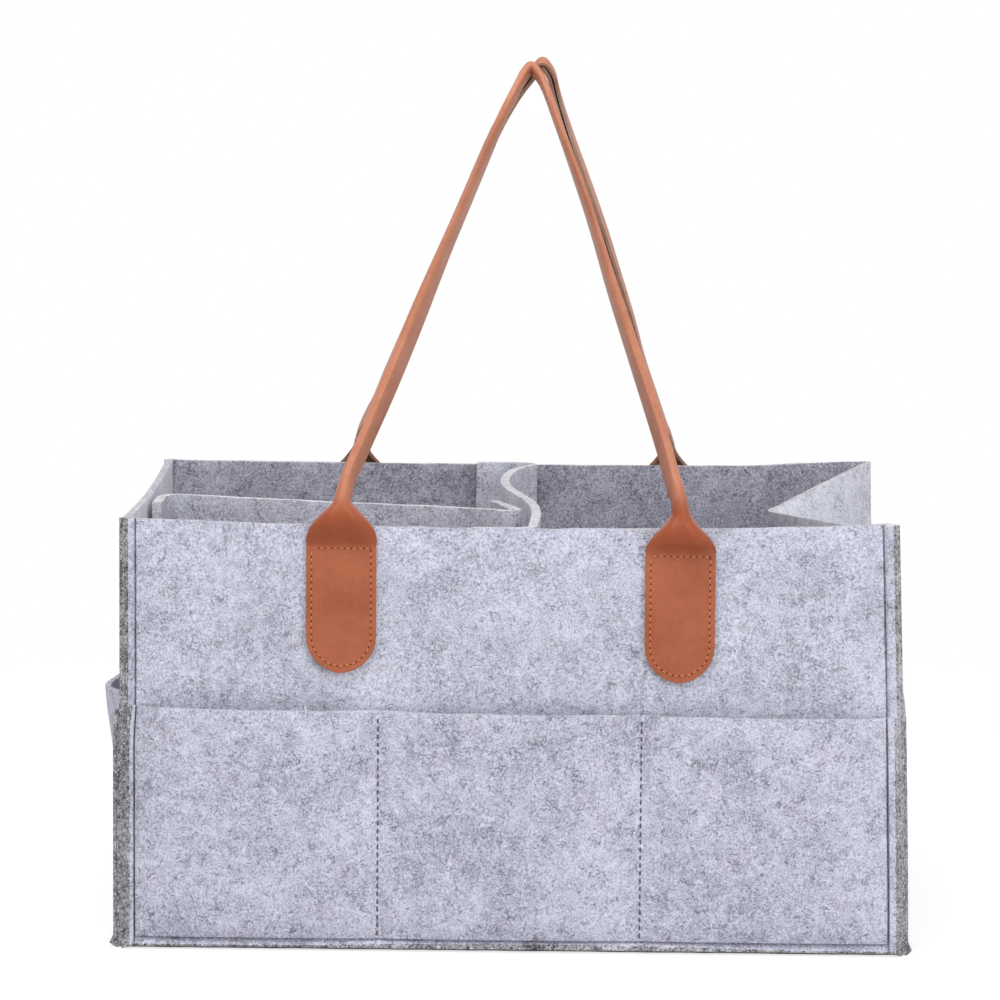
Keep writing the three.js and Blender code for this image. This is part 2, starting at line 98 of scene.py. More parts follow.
def smooth_table(table, x):
    """Smooth curve through a table of points."""
    x = min(max(x, table[0][0]), table[-1][0])
    last = len(table) - 1
    k = max(i for i in range(last) if table[i][0] <= x)
    (x0, y0), (x1, y1) = table[k], table[k + 1]

    def slope(i):
        if i in (0, last):
            return 0.0
        return (table[i + 1][1] - table[i - 1][1]) / (table[i + 1][0] - table[i - 1][0])

    h = x1 - x0
    t = (x - x0) / h
    return (
        (2 * t**3 - 3 * t * t + 1) * y0 + (t**3 - 2 * t * t + t) * h * slope(k)
        + (3 * t * t - 2 * t**3) * y1 + (t**3 - t * t) * h * slope(k + 1)
    )


def smooth(t):
    t = min(1.0, max(0.0, t))
    return t * t * (3 - 2 * t)


def wave(*place):
    """Smooth random value between -1 and 1."""
    return noise.noise(Vector(place))


def new_object(name, data):
    obj = bpy.data.objects.new(name, data)
    bpy.context.scene.collection.objects.link(obj)
    return obj


# Materials

class Net:
    """The nodes of one material or world. A value that is a socket is linked, and any other is set."""

    def __init__(self, owner):
        owner.use_nodes = True
        self.nodes, self.links = owner.node_tree.nodes, owner.node_tree.links

    def fill(self, node, values):
        for name, value in values.items():
            if isinstance(value, bpy.types.NodeSocket):
                self.links.new(value, node.inputs[name])
            else:
                node.inputs[name].default_value = value
        return node

    def add(self, kind, values=None, **settings):
        node = self.nodes.new("ShaderNode" + kind)
        for name, value in settings.items():
            setattr(node, name, value)
        return self.fill(node, values or {})

    def coord(self):
        return self.add("TexCoord").outputs["Object"]

    def calc(self, operation, a, b, clamp=False):
        return self.add("Math", {0: a, 1: b}, operation=operation, use_clamp=clamp).outputs[0]

    def noise(self, place, scale, detail=2.0, rough=0.5, distortion=0.0):
        values = {"Vector": place, "Scale": scale, "Detail": detail, "Roughness": rough}
        return self.add("TexNoise", values | {"Distortion": distortion}).outputs["Fac"]

    def ramp(self, mix, places, colours):
        stops = list(zip(places, colours))
        node = self.add("ValToRGB", {"Fac": mix})
        for element, (position, colour) in zip(node.color_ramp.elements, (stops[0], stops[-1])):
            element.position, element.color = position, (*colour, 1)
        for position, colour in stops[1:-1]:
            node.color_ramp.elements.new(position).color = (*colour, 1)
        return node.outputs["Color"]

    def mix(self, share, a, b, blend="MIX"):
        values = {"Factor": share, "A": a, "B": b}
        return self.add("Mix", values, data_type="RGBA", blend_type=blend).outputs["Result"]

    def bump(self, shader, height, strength, distance):
        values = {"Height": height, "Strength": strength, "Distance": distance}
        self.links.new(self.add("Bump", values).outputs["Normal"], shader.inputs["Normal"])


def new_material(name):
    mat = bpy.data.materials.new(name)
    net = Net(mat)
    return mat, net, next(n for n in net.nodes if n.type == "BSDF_PRINCIPLED")


def fibre_lines(net, coord, shift, scale, thin):
    """Thin curly lines: where a noise crosses its middle value, broken up by a second noise."""
    place = net.add("VectorMath", {0: coord, 1: (shift, shift * 0.7, -shift)}).outputs["Vector"]
    away = net.calc("SUBTRACT", net.noise(place, scale, 1.5, 0.5, 0.6), 0.5)
    away = net.calc("ABSOLUTE", away, 0.0)
    line = net.calc("SUBTRACT", 1.0, net.calc("DIVIDE", away, thin), True)
    gate = net.calc("SUBTRACT", net.noise(place, scale * 0.6, 1, 0.5), 0.5)
    return net.calc("MULTIPLY", line, net.calc("MULTIPLY", gate, 9.0, True))


# Layers of the felt's colour: scale, detail, roughness, distortion and weight of each noise
FELT_LAYERS = (
    (48, 2, 0.5, 0.3, 0.34), (170, 3, 0.6, 0.5, 0.5), (620, 2, 0.6, 0.4, 0.38), (1250, 2, 0.65, 0.2, 1.3),
)
# Curly fibres: shift of their noise, its scale and their thickness in it, and their weight in the colour
PALE_FIBRES, DEEP_FIBRES = (3.0, 300, 0.035), (7.0, 260, 0.03)
FIBRE_WEIGHT = 0.4
# Where the dark, the middle and the light tone lie, and the drift between a bluer and a redder grey
FELT_STOPS = (0.2, 0.5, 0.78)
LEATHER_STOPS = (0.34, 0.66)
FELT_DRIFT = (0.35, 0.65), ((0.985, 1.0, 1.01), (1.015, 0.995, 0.995))
# Depth of the relief in metres
FELT_BUMP, LEATHER_BUMP = 0.0004, 0.00012


def felt_material(name, dark, mid, light, contrast=1.0, bump=0.5, fibres=0.75):
    """Pressed felt: pale and dark fibres mixed in clouds and specks, with curly single fibres on top."""
    mat, net, shader = new_material(name)
    coord = net.coord()
    mix, specks = None, None
    for scale, detail, rough, twist, weight in FELT_LAYERS:
        specks = net.noise(coord, scale, detail, rough, twist)
        part = net.calc("MULTIPLY", specks, weight * contrast)
        mix = part if mix is None else net.calc("ADD", mix, part)
    centre = 0.5 * contrast * sum(layer[-1] for layer in FELT_LAYERS)
    mix = net.calc("SUBTRACT", mix, centre - 0.5)
    lift = net.calc("SUBTRACT", fibre_lines(net, coord, *PALE_FIBRES), fibre_lines(net, coord, *DEEP_FIBRES))
    mix = net.calc("ADD", mix, net.calc("MULTIPLY", lift, fibres * FIBRE_WEIGHT))
    colours = net.ramp(mix, FELT_STOPS, (dark, mid, light))
    drift = net.ramp(net.noise(coord, 90, 2, 0.5), *FELT_DRIFT)
    net.fill(shader, {
        "Base Color": net.mix(1.0, colours, drift, "MULTIPLY"), "Roughness": 0.95,
        "Specular IOR Level": 0.15, "Sheen Weight": 0.2, "Sheen Roughness": 0.6,
    })
    height = net.calc("ADD", net.calc("MULTIPLY", specks, 0.6), lift)
    net.bump(shader, height, bump, FELT_BUMP)
    return mat


def leather_material(name, dark, light, rough=0.42, grain=0.25, coat=0.06, tones=()):
    """Smooth dyed leather with a fine grain, cloudy colour and uneven gloss.

    Each of the tones takes over where its attribute of the mesh is 1; they carry painted shade and painted
    sheen.
    """
    mat, net, shader = new_material(name)
    coord = net.coord()
    clouds, fine = net.noise(coord, 45, 3, 0.6), net.noise(coord, 500, 2, 0.5)
    mix = net.calc("ADD", net.calc("MULTIPLY", clouds, 0.75), net.calc("MULTIPLY", fine, 0.25))
    colour = net.ramp(mix, LEATHER_STOPS, (dark, light))
    for attribute, *tone in tones:
        share = net.add("Attribute", attribute_name=attribute).outputs["Fac"]
        colour = net.mix(share, colour, net.ramp(mix, LEATHER_STOPS, tone))
    net.fill(shader, {
        "Base Color": colour, "Roughness": net.calc("ADD", net.calc("MULTIPLY", fine, 0.16), rough - 0.08),
        "Specular IOR Level": 0.32, "Coat Weight": coat, "Coat Roughness": 0.35,
    })
    cells = net.add("TexVoronoi", {"Scale": 1500, "Vector": coord}).outputs["Distance"]
    net.bump(shader, net.calc("ADD", cells, net.noise(coord, 2600, 2, 0.6)), grain, LEATHER_BUMP)
    return mat


def thread_material(name, dark, light):
    """Twisted sewing thread."""
    mat, net, shader = new_material(name)
    values = {"Scale": 900, "Distortion": 1.5, "Vector": net.coord()}
    twist = net.add("TexWave", values, bands_direction="DIAGONAL").outputs["Fac"]
    net.fill(shader, {"Base Color": net.ramp(twist, (0.2, 0.8), (dark, light)), "Roughness": 0.7})
    return mat


FELT_FACE = felt_material("felt_face", (0.25, 0.25, 0.3), (0.535, 0.545, 0.655), (0.76, 0.775, 0.895))
# Lighter copy of the face felt for the right wall's outside: painted light on the gusset
GUSSET_PAINTED_LIGHT = felt_material("felt_gusset_painted_light", (0.3, 0.3, 0.35), (0.64, 0.65, 0.765), (0.85, 0.86, 0.95))
POCKET_FACE = felt_material("pocket_face", (0.22, 0.22, 0.27), (0.52, 0.525, 0.64), (0.75, 0.76, 0.88))
# Darker copy of the felt for the inner faces and the bottom's upper face: painted shade inside the caddy
INNER_PAINTED_SHADE = felt_material("felt_inner_painted_shade", (0.15, 0.145, 0.175), (0.37, 0.362, 0.435), (0.59, 0.58, 0.67))
# Lighter copy of the felt for the inner faces of the left and right walls: painted light
SIDE_INNER_PAINTED_LIGHT = felt_material("felt_side_inner_painted_light", (0.42, 0.42, 0.47), (0.79, 0.8, 0.91), (0.9, 0.91, 0.97))
FELT_CUT = felt_material("felt_cut", (0.05, 0.05, 0.055), (0.27, 0.268, 0.285), (0.64, 0.635, 0.67),
                         contrast=1.2, bump=0.9, fibres=0.9)
# Lighter cut edges that look up, at the rims: painted light from above
RIM_PAINTED_LIGHT = felt_material("felt_rim_painted_light", (0.22, 0.22, 0.24), (0.52, 0.52, 0.58), (0.8, 0.8, 0.87))
# Darkest felt in the corner creases: painted shade
CREASE_PAINTED_SHADE = felt_material("felt_crease_painted_shade", (0.07, 0.07, 0.085), (0.17, 0.17, 0.205), (0.35, 0.35, 0.4))
# Dark felt in the crease above the foot: painted shade
FOOT_CREASE_PAINTED_SHADE = felt_material("felt_foot_crease_painted_shade", (0.12, 0.12, 0.145), (0.29, 0.29, 0.35), (0.5, 0.5, 0.57))
LONG_FACE = felt_material("long_divider_face", (0.22, 0.22, 0.26), (0.53, 0.527, 0.615), (0.73, 0.725, 0.82))
# Lighter copy of the divider felt on the centre divider's faces: painted light
CENTRE_FACE_PAINTED_LIGHT = felt_material("centre_divider_painted_light", (0.28, 0.28, 0.32), (0.62, 0.62, 0.72), (0.8, 0.8, 0.9))
# Cut edges of the dividers, lighter than other cut felt: painted light on their upper edges
DIVIDER_EDGE_PAINTED_LIGHT = felt_material("divider_edge_painted_light", (0.32, 0.32, 0.35), (0.64, 0.635, 0.69), (0.82, 0.82, 0.87))
HOOKS = felt_material("hook_strip", (0.06, 0.06, 0.065), (0.14, 0.14, 0.15), (0.24, 0.24, 0.26), bump=1.0)
# Painted shade in the funnels and painted sheen on the strap, over the leather's own colour
LEATHER_SHADE_AND_SHEEN = (
    ("funnel_painted_shade", (0.305, 0.062, 0.018), (0.38, 0.085, 0.027)),
    ("strap_painted_sheen", (0.45, 0.16, 0.085), (0.57, 0.23, 0.135)),
)
LEATHER = leather_material("leather", (0.34, 0.087, 0.035), (0.45, 0.13, 0.058), 0.46, tones=LEATHER_SHADE_AND_SHEEN)
# Flesh side of the leather, lighter than the grain side, and lifted further for the shaded inside of the
# fold: partly real colour, partly painted light
FLESH_SIDE_AND_LIGHT = felt_material("leather_flesh_side_and_painted_light", (0.27, 0.13, 0.08), (0.48, 0.27, 0.18), (0.62, 0.41, 0.3),
                             contrast=0.7, bump=0.6)
LEATHER_CUT = leather_material("leather_cut", (0.36, 0.19, 0.12), (0.55, 0.35, 0.25), 0.7, 0.4, 0.0)
# Dark marks at the needle holes: painted shade in the holes
HOLE_PAINTED_SHADE = leather_material("stitch_hole_painted_shade", (0.07, 0.018, 0.008), (0.13, 0.035, 0.015), 0.8, 0.2, 0.0)
THREAD_TAN = thread_material("thread_tan", (0.5, 0.14, 0.05), (0.72, 0.25, 0.1))
THREAD_GREY = thread_material("thread_grey", (0.04, 0.04, 0.05), (0.14, 0.14, 0.17))
THREAD_INSIDE = thread_material("thread_inside", (0.15, 0.145, 0.17), (0.3, 0.29, 0.34))
THREAD_WHITE = thread_material("loose_fibre", (0.6, 0.6, 0.62), (0.85, 0.85, 0.88))


# Meshes

def add_object(bm, name, materials):
    mesh = bpy.data.meshes.new(name)
    bm.to_mesh(mesh)
    bm.free()
    for mat in materials:
        mesh.materials.append(mat)
    return new_object(name, mesh)


def declare(piece, body, slot, *nodes):
    """The body that a piece rides on and the nodes that it stands for. Its material slot is not used."""
    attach(piece, body)
    if nodes:
        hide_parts(*nodes)


# Corners of a grid's cell in their order round it, and where each edge starts and which neighbour it faces
CELL = ((0, 0), (0, 1), (1, 1), (1, 0))
CELL_EDGES = ((0, -1, 0), (2, 1, 0), (3, 0, -1), (1, 0, 1))
SHARP = math.radians(42)


def grid_solid(
    name, outer, inner, materials, bevel=0.35, inner_slot=0, lit_rim_slot=0,
    slots=lambda i, j: 0, present=lambda i, j: True,
):
    """Closed thick sheet between two grids of points in millimetres, cut where a cell has no neighbour.

    Slot 0 is its faces, the last slot its cut edges, and the lit rim slot takes the cut that looks up, so
    that it carries painted light.
    """
    cut = len(materials) - 1
    bm = bmesh.new()
    front, back = ([[bm.verts.new(Vector(p) * MM) for p in row] for row in grid] for grid in (outer, inner))
    rows, cols = len(outer) - 1, len(outer[0]) - 1

    def has(i, j):
        return 0 <= i < rows and 0 <= j < cols and present(i, j)

    for i, j in ((i, j) for i in range(rows) for j in range(cols) if has(i, j)):
        above, below = ([grid[i + r][j + c] for r, c in CELL] for grid in (front, back))
        bm.faces.new(above).material_index = slots(i, j)
        bm.faces.new(below[:1] + below[:0:-1]).material_index = inner_slot
        for k, di, dj in CELL_EDGES:
            if not has(i + di, j + dj):
                n = (k + 1) % 4
                bm.faces.new((above[n], above[k], below[k], below[n])).material_index = cut
    for v in [v for v in bm.verts if not v.link_faces]:
        bm.verts.remove(v)
    bmesh.ops.recalc_face_normals(bm, faces=bm.faces)
    rims = [e for e in bm.edges if len({f.material_index == cut for f in e.link_faces}) == 2]
    bmesh.ops.bevel(bm, geom=rims, offset=bevel * MM, segments=2, profile=0.6, affect="EDGES",
                    clamp_overlap=True, material=-1)
    for f in bm.faces:
        f.smooth = True
        # Cut faces that look up take the lit rim slot: painted light from above
        if lit_rim_slot and f.material_index == cut and f.normal.z > 0.5:
            f.material_index = lit_rim_slot
    for e in bm.edges:
        e.smooth = e.calc_face_angle(0) <= SHARP
    return add_object(bm, name, materials)


def add_tube(bm, rings, smooth_ends):
    """Closed tube through rings of points in millimetres."""
    rings = [[bm.verts.new(p * MM) for p in ring] for ring in rings]
    n = len(rings[0])
    for a, b in zip(rings, rings[1:]):
        for k in range(n):
            bm.faces.new((a[k], a[(k + 1) % n], b[(k + 1) % n], b[k])).smooth = True
    for end in (rings[0][::-1], rings[-1]):
        bm.faces.new(end).smooth = smooth_ends


# Rings of a stitch: place along its half length, and share of its thickness
STITCH_RINGS = ((-1, 0.25), (-0.82, 0.75), (-0.4, 1), (0.4, 1), (0.82, 0.75), (1, 0.25))
STITCH_TURNS = [math.tau * k / 6 for k in range(6)]
# How far a stitch rises in its middle and sinks in as a whole, as shares of its height
STITCH_ARCH, STITCH_SINK = 0.55, 0.25


def stitch_row(name, runs, material, length, width, height):
    """Short thread stitches: each run is a place, a direction along and a direction out, in millimetres."""
    bm = bmesh.new()
    for place, along, out in runs:
        along, out = Vector(along).normalized(), Vector(out).normalized()
        side = along.cross(out).normalized()
        rings = []
        for t, r in STITCH_RINGS:
            rise = STITCH_ARCH * height * (1 - t * t) - STITCH_SINK * height
            centre = Vector(place) + along * (t * length / 2) + out * rise
            rings.append([
                centre + (side * (math.cos(a) * width / 2 * r) + out * (math.sin(a) * height / 2 * r))
                for a in STITCH_TURNS
            ])
        add_tube(bm, rings, True)
    bmesh.ops.recalc_face_normals(bm, faces=bm.faces)
    return add_object(bm, name, [material])


def even_places(points, pitch, start):
    """Places at an even pitch along a line of points, with the direction of travel there."""
    points = [Vector(p) for p in points]
    lengths = [(b - a).length for a, b in zip(points, points[1:])]
    total = sum(lengths)
    count = max(1, round((total - 2 * start) / pitch))
    found = []
    for k in range(count):
        at = start + (total - 2 * start) * (k + 0.5) / count
        for a, b, n in zip(points, points[1:], lengths):
            if at <= n or (a, b) == (points[-2], points[-1]):
                found.append((a.lerp(b, min(1, at / n)), (b - a).normalized()))
                break
            at -= n
    return found


def sew(line, pitch, start, out):
    """Stitches along a line that all point the same way out."""
    return [(place, along, out) for place, along in even_places(line, pitch, start)]


def shifted_line(line, distances):
    """Plan line moved to its left, by its own distance at each point."""
    normals = []
    for (x0, y0), (x1, y1) in zip(line, line[1:]):
        n = math.hypot(x1 - x0, y1 - y0)
        normals.append((-(y1 - y0) / n, (x1 - x0) / n))
    out = []
    for k, ((x, y), distance) in enumerate(zip(line, distances)):
        a, b = normals[max(k - 1, 0)], normals[min(k, len(normals) - 1)]
        s = distance / (1 + a[0] * b[0] + a[1] * b[1])
        out.append((x + (a[0] + b[0]) * s, y + (a[1] + b[1]) * s))
    return out


# Felt walls: direction along each side, direction out, half its length, its distance from the middle of the
# caddy, and how far its raw edges turn out at both ends

LEFT_SIDE_TURNS = (math.pi / 2 - LEFT_TURN,) * 2
RIGHT_SIDE_TURNS = (math.pi / 2 - RIGHT_TURN, math.pi / 2 - BACK_RIGHT_TURN)
LENGTHWISE = dict(reach=HALF_LENGTH, away=HALF_DEPTH)
CROSSWISE = dict(reach=HALF_DEPTH, away=HALF_LENGTH)
SIDES = {
    "front": dict(LENGTHWISE, along=(1, 0), out=(0, -1), turns=(LEFT_TURN, RIGHT_TURN)),
    "back": dict(LENGTHWISE, along=(-1, 0), out=(0, 1), turns=(BACK_RIGHT_TURN, LEFT_TURN)),
    "left": dict(CROSSWISE, along=(0, -1), out=(-1, 0), turns=LEFT_SIDE_TURNS),
    "right": dict(CROSSWISE, along=(0, 1), out=(1, 0), turns=RIGHT_SIDE_TURNS),
}
# The corners' lean begins this far from the middle and is full after the next length. The front corners'
# lean gives way to the back ones' over a depth that ends at the third value.
CORNER_FROM, CORNER_OVER, FRONT_UNTIL, FRONT_OVER = 92, 60, 40, 80
# The right front corner spreads at the foot and leans inwards at the rim, the right back one leans and rises
FOOT_SPREAD, FRONT_LEAN, BACK_LEAN, BACK_RISE = 1.9, 5.1, 2.2, 2.0
# The left front corner spreads a little up to this height, where the pockets make it thick
LEFT_SPREAD, SPREAD_UNTIL, SPREAD_OVER = 1.1, 105, 20


def lean_corner(x, y, z):
    """A point of the upright caddy moved as its corners lean and spread."""
    right, left = smooth((x - CORNER_FROM) / CORNER_OVER), smooth((-x - CORNER_FROM) / CORNER_OVER)
    front = smooth((FRONT_UNTIL - y) / FRONT_OVER)
    high = max(0.0, z / RIM)
    shift = right * (front * (FOOT_SPREAD - FRONT_LEAN * high ** 1.3) - BACK_LEAN * (1 - front) * high ** 2)
    shift -= LEFT_SPREAD * left * front * smooth((SPREAD_UNTIL - z) / SPREAD_OVER)
    rise = BACK_RISE * right * (1 - front) * high ** 3
    return (x + shift, y, z + rise)


def on_side(side, u, w, z):
    """The point that lies so far along one side, out from it and up."""
    x = side["along"][0] * u + side["out"][0] * (side["away"] + w)
    y = side["along"][1] * u + side["out"][1] * (side["away"] + w)
    return lean_corner(x, y, z)


def arch(share):
    return max(0.0, 1 - share * share)


def sag(amount):
    return lambda share, z: amount * arch(share) * (z / RIM) ** 4


def bow(amount):
    return lambda share, z: amount * arch(share) * z / RIM


def level(share, z):
    return 0.0


# How far each wall stands out, and how far its rim hangs down
WALLS = {
    "front": (bow(FRONT_BOW), sag(FRONT_SAG)),
    "back": (level, sag(BACK_SAG)),
    "left": (bow(LEFT_BOW), sag(BACK_SAG)),
    "right": (
        lambda share, z: -GUSSET_PUSH * lerp(GUSSET, share) * (z / RIM) ** 1.6,
        lambda share, z: APEX_DIP * lerp(GUSSET, share) * (z / RIM) ** 4,
    ),
}
# Swelling and unevenness begin beside the corners, over one part in this many of half the side
END_PARTS = 12


def pocket_rise(joins, bulge, power):
    """Swelling between the rows of stitches, flat at the corners, so that their creases stay open."""
    ends = [-1, *joins, 1]

    def rise(share, z):
        share = min(1, max(-1, share))
        k = max(0, next(i for i, e in enumerate(ends) if e >= share) - 1)
        across = 2 * (share - ends[k]) / (ends[k + 1] - ends[k]) - 1
        flat = smooth((1 - abs(share)) * END_PARTS)
        return bulge * flat * max(0.0, 1 - abs(across) ** power) * min(1, z / POCKET_UP) ** 0.6

    return rise


# The left pocket gapes at one place of its mouth
LEFT_POCKET_PEAK = 0.27
LEFT_POCKET_NARROW = 2.1
LEFT_POCKET_GAPE, LEFT_POCKET_DROP = 12.3, 2.0


def left_gape(share):
    ahead = 1 - LEFT_POCKET_PEAK if share > LEFT_POCKET_PEAK else 1 + LEFT_POCKET_PEAK
    return max(0.0, 1 - (LEFT_POCKET_NARROW * (share - LEFT_POCKET_PEAK) / ahead) ** 2) ** 2


POCKETS = {
    "front": pocket_rise(JOINS, bulge=7.0, power=3),
    "back": pocket_rise(JOINS, bulge=7.2, power=3),
    "left": lambda share, z: LEFT_POCKET_GAPE * left_gape(share) * min(1, z / POCKET_UP) ** 1.4,
    "right": pocket_rise((), bulge=3.0, power=2),
}
# How far the pocket's upper edge lies below its full height
POCKET_DROPS = {
    "front": lambda share, z: (share - 1) * (z / POCKET_UP) ** 2,
    "back": level,
    "left": lambda share, z: LEFT_POCKET_DROP * left_gape(share) * (z / POCKET_UP) ** 4,
    "right": level,
}


def pocket_outward(key):
    """A pocket lies on its wall, but it goes straight across the fold of the right one."""
    wall = level if key == "right" else WALLS[key][0]
    return lambda share, z: wall(share, z) + POCKETS[key](share, z)


# Unevenness of the felt: width and height of its broad and of its fine waves. It fades out towards the foot
# below the given height.
SEEDS = {"front": 3.1, "back": 17.7, "left": 29.3, "right": 41.9}
BROAD, BROAD_HIGH, FINE, FINE_HIGH = 34, 0.45, 9, 0.1
RIPPLE_FROM = 30


def ripple(key, u, z):
    """Small unevenness of soft felt, the same for all layers of one side."""
    seed = SEEDS[key]
    broad, fine = wave(u / BROAD + seed, z / BROAD, seed), wave(u / FINE, z / FINE + seed, seed * 2)
    return BROAD_HIGH * broad + FINE_HIGH * fine


# The layers are pressed together in the raw edges, in the creases of the corners and in the one at the foot.
# The crease's table has the distance to the corner, the foot's has one value for each row of points.
EDGE_PARTS = (0.0, 0.5, 0.8)
EDGE = len(EDGE_PARTS)
EDGE_SQUEEZE = 0.26
SHOULDER_SQUEEZE = 0.13
CREASE = ((0.0, 0.46), (0.9, 0.13), (2.5, 0.03), (4.5, 0.0))
FOOT_SQUEEZE = (0.2, 0.17, 0.32, 0.1)
CREASE_STEPS = (0.9, 2.5)
CREASE_REACH = 10.0
CREASE_INSET = 1.3
# Row of points in the crease at the foot, distances of the next two rows to it, and step between the others
FOOT_ROW, NEXT_ROWS, ROW_STEP = 2, (1, 3), 6
# Height of the raw edges' own unevenness at the foot and at the rim
FOOT_ROUGH, RIM_ROUGH = 0.25, 0.35
# Share of the foot that shows its raw edge, how much more of it near the middle, where that is and how wide
BAND, BAND_MORE, BAND_PLACE, BAND_WIDE = 0.18, 0.36, 12, 100


def contact_line(key, shares, z, low, outward):
    """Plan line between two sewn sides at one height: raw edge, wall, raw edge."""
    side = SIDES[key]
    reach = side["reach"]
    first, last = ((reach + math.cos(t) * FLANGE, math.sin(t) * FLANGE) for t in side["turns"])
    line = [(-first[0] + (first[0] - reach) * part, first[1] * (1 - part)) for part in EDGE_PARTS]
    for share in shares:
        edge = min(1, (1 - abs(share)) * END_PARTS)
        rough = ripple(key, share * reach, z) * edge * min(1, z / RIPPLE_FROM)
        line.append((share * reach, 0.0 if low else outward(share, z) + rough))
    line += [(last[0] - (last[0] - reach) * part, last[1] * (1 - part)) for part in reversed(EDGE_PARTS)]
    return line


def squeezed(layer, column, count, row, reach_left):
    """Distance of a layer from the contact plane: pressed together in the seams, full in the wall."""
    if min(column, count - 1 - column) < EDGE:
        return layer * (1 - EDGE_SQUEEZE)
    upward = FOOT_SQUEEZE[row] if row < len(FOOT_SQUEEZE) else 0.0
    return layer * (1 - max(lerp(CREASE, reach_left), upward))


def follow_crease(line, shifted, reach, layer):
    """Draws the creases of a layer away from the corners, and the columns near them too, in their order.

    Between its raw edge and its crease the turned-out felt is straight.
    """
    inset = CREASE_INSET * min(1.0, layer / FELT)
    out, moves = list(shifted), []
    for start, crease, step in ((0, EDGE, 1), (-1, -1 - EDGE, -1)):
        moves.append(shifted[crease][0] - line[crease][0] + inset * step)
        out[crease] = (line[crease][0] + moves[-1], shifted[crease][1])
        raw, shoulder = shifted[start], (out[crease][0], layer * (1 - SHOULDER_SQUEEZE))
        for k, part in enumerate(EDGE_PARTS):
            out[start + k * step] = tuple(a + (b - a) * part for a, b in zip(raw, shoulder))
    for k in range(EDGE + 1, len(line) - 1 - EDGE):
        near_first = max(0.0, 1 - (reach + line[k][0]) / CREASE_REACH)
        near_last = max(0.0, 1 - (reach - line[k][0]) / CREASE_REACH)
        out[k] = (shifted[k][0] + moves[0] * near_first + moves[1] * near_last, shifted[k][1])
    return out


def foot_band(u):
    """Share of the foot's turned-out felt that shows its raw edge, a band that is wider in the middle."""
    return BAND + BAND_MORE * max(0.0, 1 - ((u - BAND_PLACE) / BAND_WIDE) ** 2)


def wall_surface(key, shares, layer, heights, outward, drop):
    """Grid of points of one layer: two rows in the turned-out foot, its crease, and the wall above."""
    side, seed, half_turn = SIDES[key], SEEDS[key], math.tan(BOTTOM_TURN / 2)
    reach = side["reach"]
    rows = []
    for row, z in enumerate(heights):
        line = contact_line(key, shares, z, row <= FOOT_ROW, outward)
        own = [squeezed(layer, k, len(line), row, reach - abs(u)) for k, (u, _) in enumerate(line)]
        shifted = follow_crease(line, shifted_line(line, own), reach, layer)
        points = []
        for (u, w), (u0, _), away in zip(shifted, line, own):
            if row < FOOT_ROW:
                flare = 1 - row * foot_band(u0)
                w += SEAM_UP * math.tan(BOTTOM_TURN) * flare
                height = away * (math.sin(BOTTOM_TURN) * flare + half_turn * (1 - flare))
                height += SEAM_UP * (1 - flare)
            else:
                height = SEAM_UP + away * half_turn if row == FOOT_ROW else z - drop(u0 / reach, z)
            if row == 0:
                height = max(0.0, height + FOOT_ROUGH * wave(u0 / 9 + seed, 0.7, layer))
            elif row == len(heights) - 1:
                height += RIM_ROUGH * wave(u0 / 14 + seed, 0.3, layer / 7)
            points.append(on_side(side, u, w, height))
        rows.append(points)
    return rows


# Slots of a panel: corner creases with painted shade, rims with painted light, raw foot, foot crease with
# painted shade
CREASE_SHADE_SLOT, LIT_RIM_SLOT, FOOT_SLOT, FOOT_CREASE_SHADE_SLOT = 2, 3, 4, 5


def panel_slot(row, column, columns):
    """Slot of a panel's outer face: raw foot, painted shade in the corner creases, and softer painted shade
    in the crease above the foot.
    """
    last = columns - 2 - EDGE
    if row == 0:
        return FOOT_SLOT
    if row > FOOT_ROW and column in (EDGE, last):
        return CREASE_SHADE_SLOT
    return FOOT_CREASE_SHADE_SLOT if row == FOOT_ROW and EDGE <= column <= last else 0


def felt_panel(name, node, key, shares, top, first, thick, outward, drop, face, inner):
    """Wall or pocket of one side, from the first layer of its felt outwards."""
    steps = max(4, round(top / ROW_STEP))
    low, high = NEXT_ROWS
    heights = [0, SEAM_UP / 2, SEAM_UP, SEAM_UP + low]
    heights += [SEAM_UP + high + (top - SEAM_UP - high) * k / steps for k in range(steps + 1)]
    grids = [wall_surface(key, shares, layer, heights, outward, drop) for layer in (first + thick, first)]
    panel = grid_solid(
        name, *grids, [face, inner, CREASE_PAINTED_SHADE, RIM_PAINTED_LIGHT, FELT_CUT, FOOT_CREASE_PAINTED_SHADE, FELT_CUT], inner_slot=1,
        slots=lambda i, j: panel_slot(i, j, len(grids[0][0])), lit_rim_slot=LIT_RIM_SLOT)
    declare(panel, "caddy", "grey_felt", node)


def even_shares(step_mm, reach, extra=()):
    """Columns of points at even steps, with the creases and the extra ones in place of those near them."""
    count = max(6, round(2 * reach / step_mm))
    shares = {round(-1 + 2 * k / count, 5) for k in range(count + 1)}
    creases = [end * (1 - step / reach) for end in (-1, 1) for step in CREASE_STEPS]
    for value in (*extra, *creases):
        shares = {s for s in shares if abs(s - value) > 0.6 / count} | {value}
    return sorted(shares | {-1.0, 1.0})


# Width of the valley's two slopes beside a row of stitches, as a share of half the side
JOIN_STEP = 0.012
WALL_STEP, POCKET_STEP = 5, 4


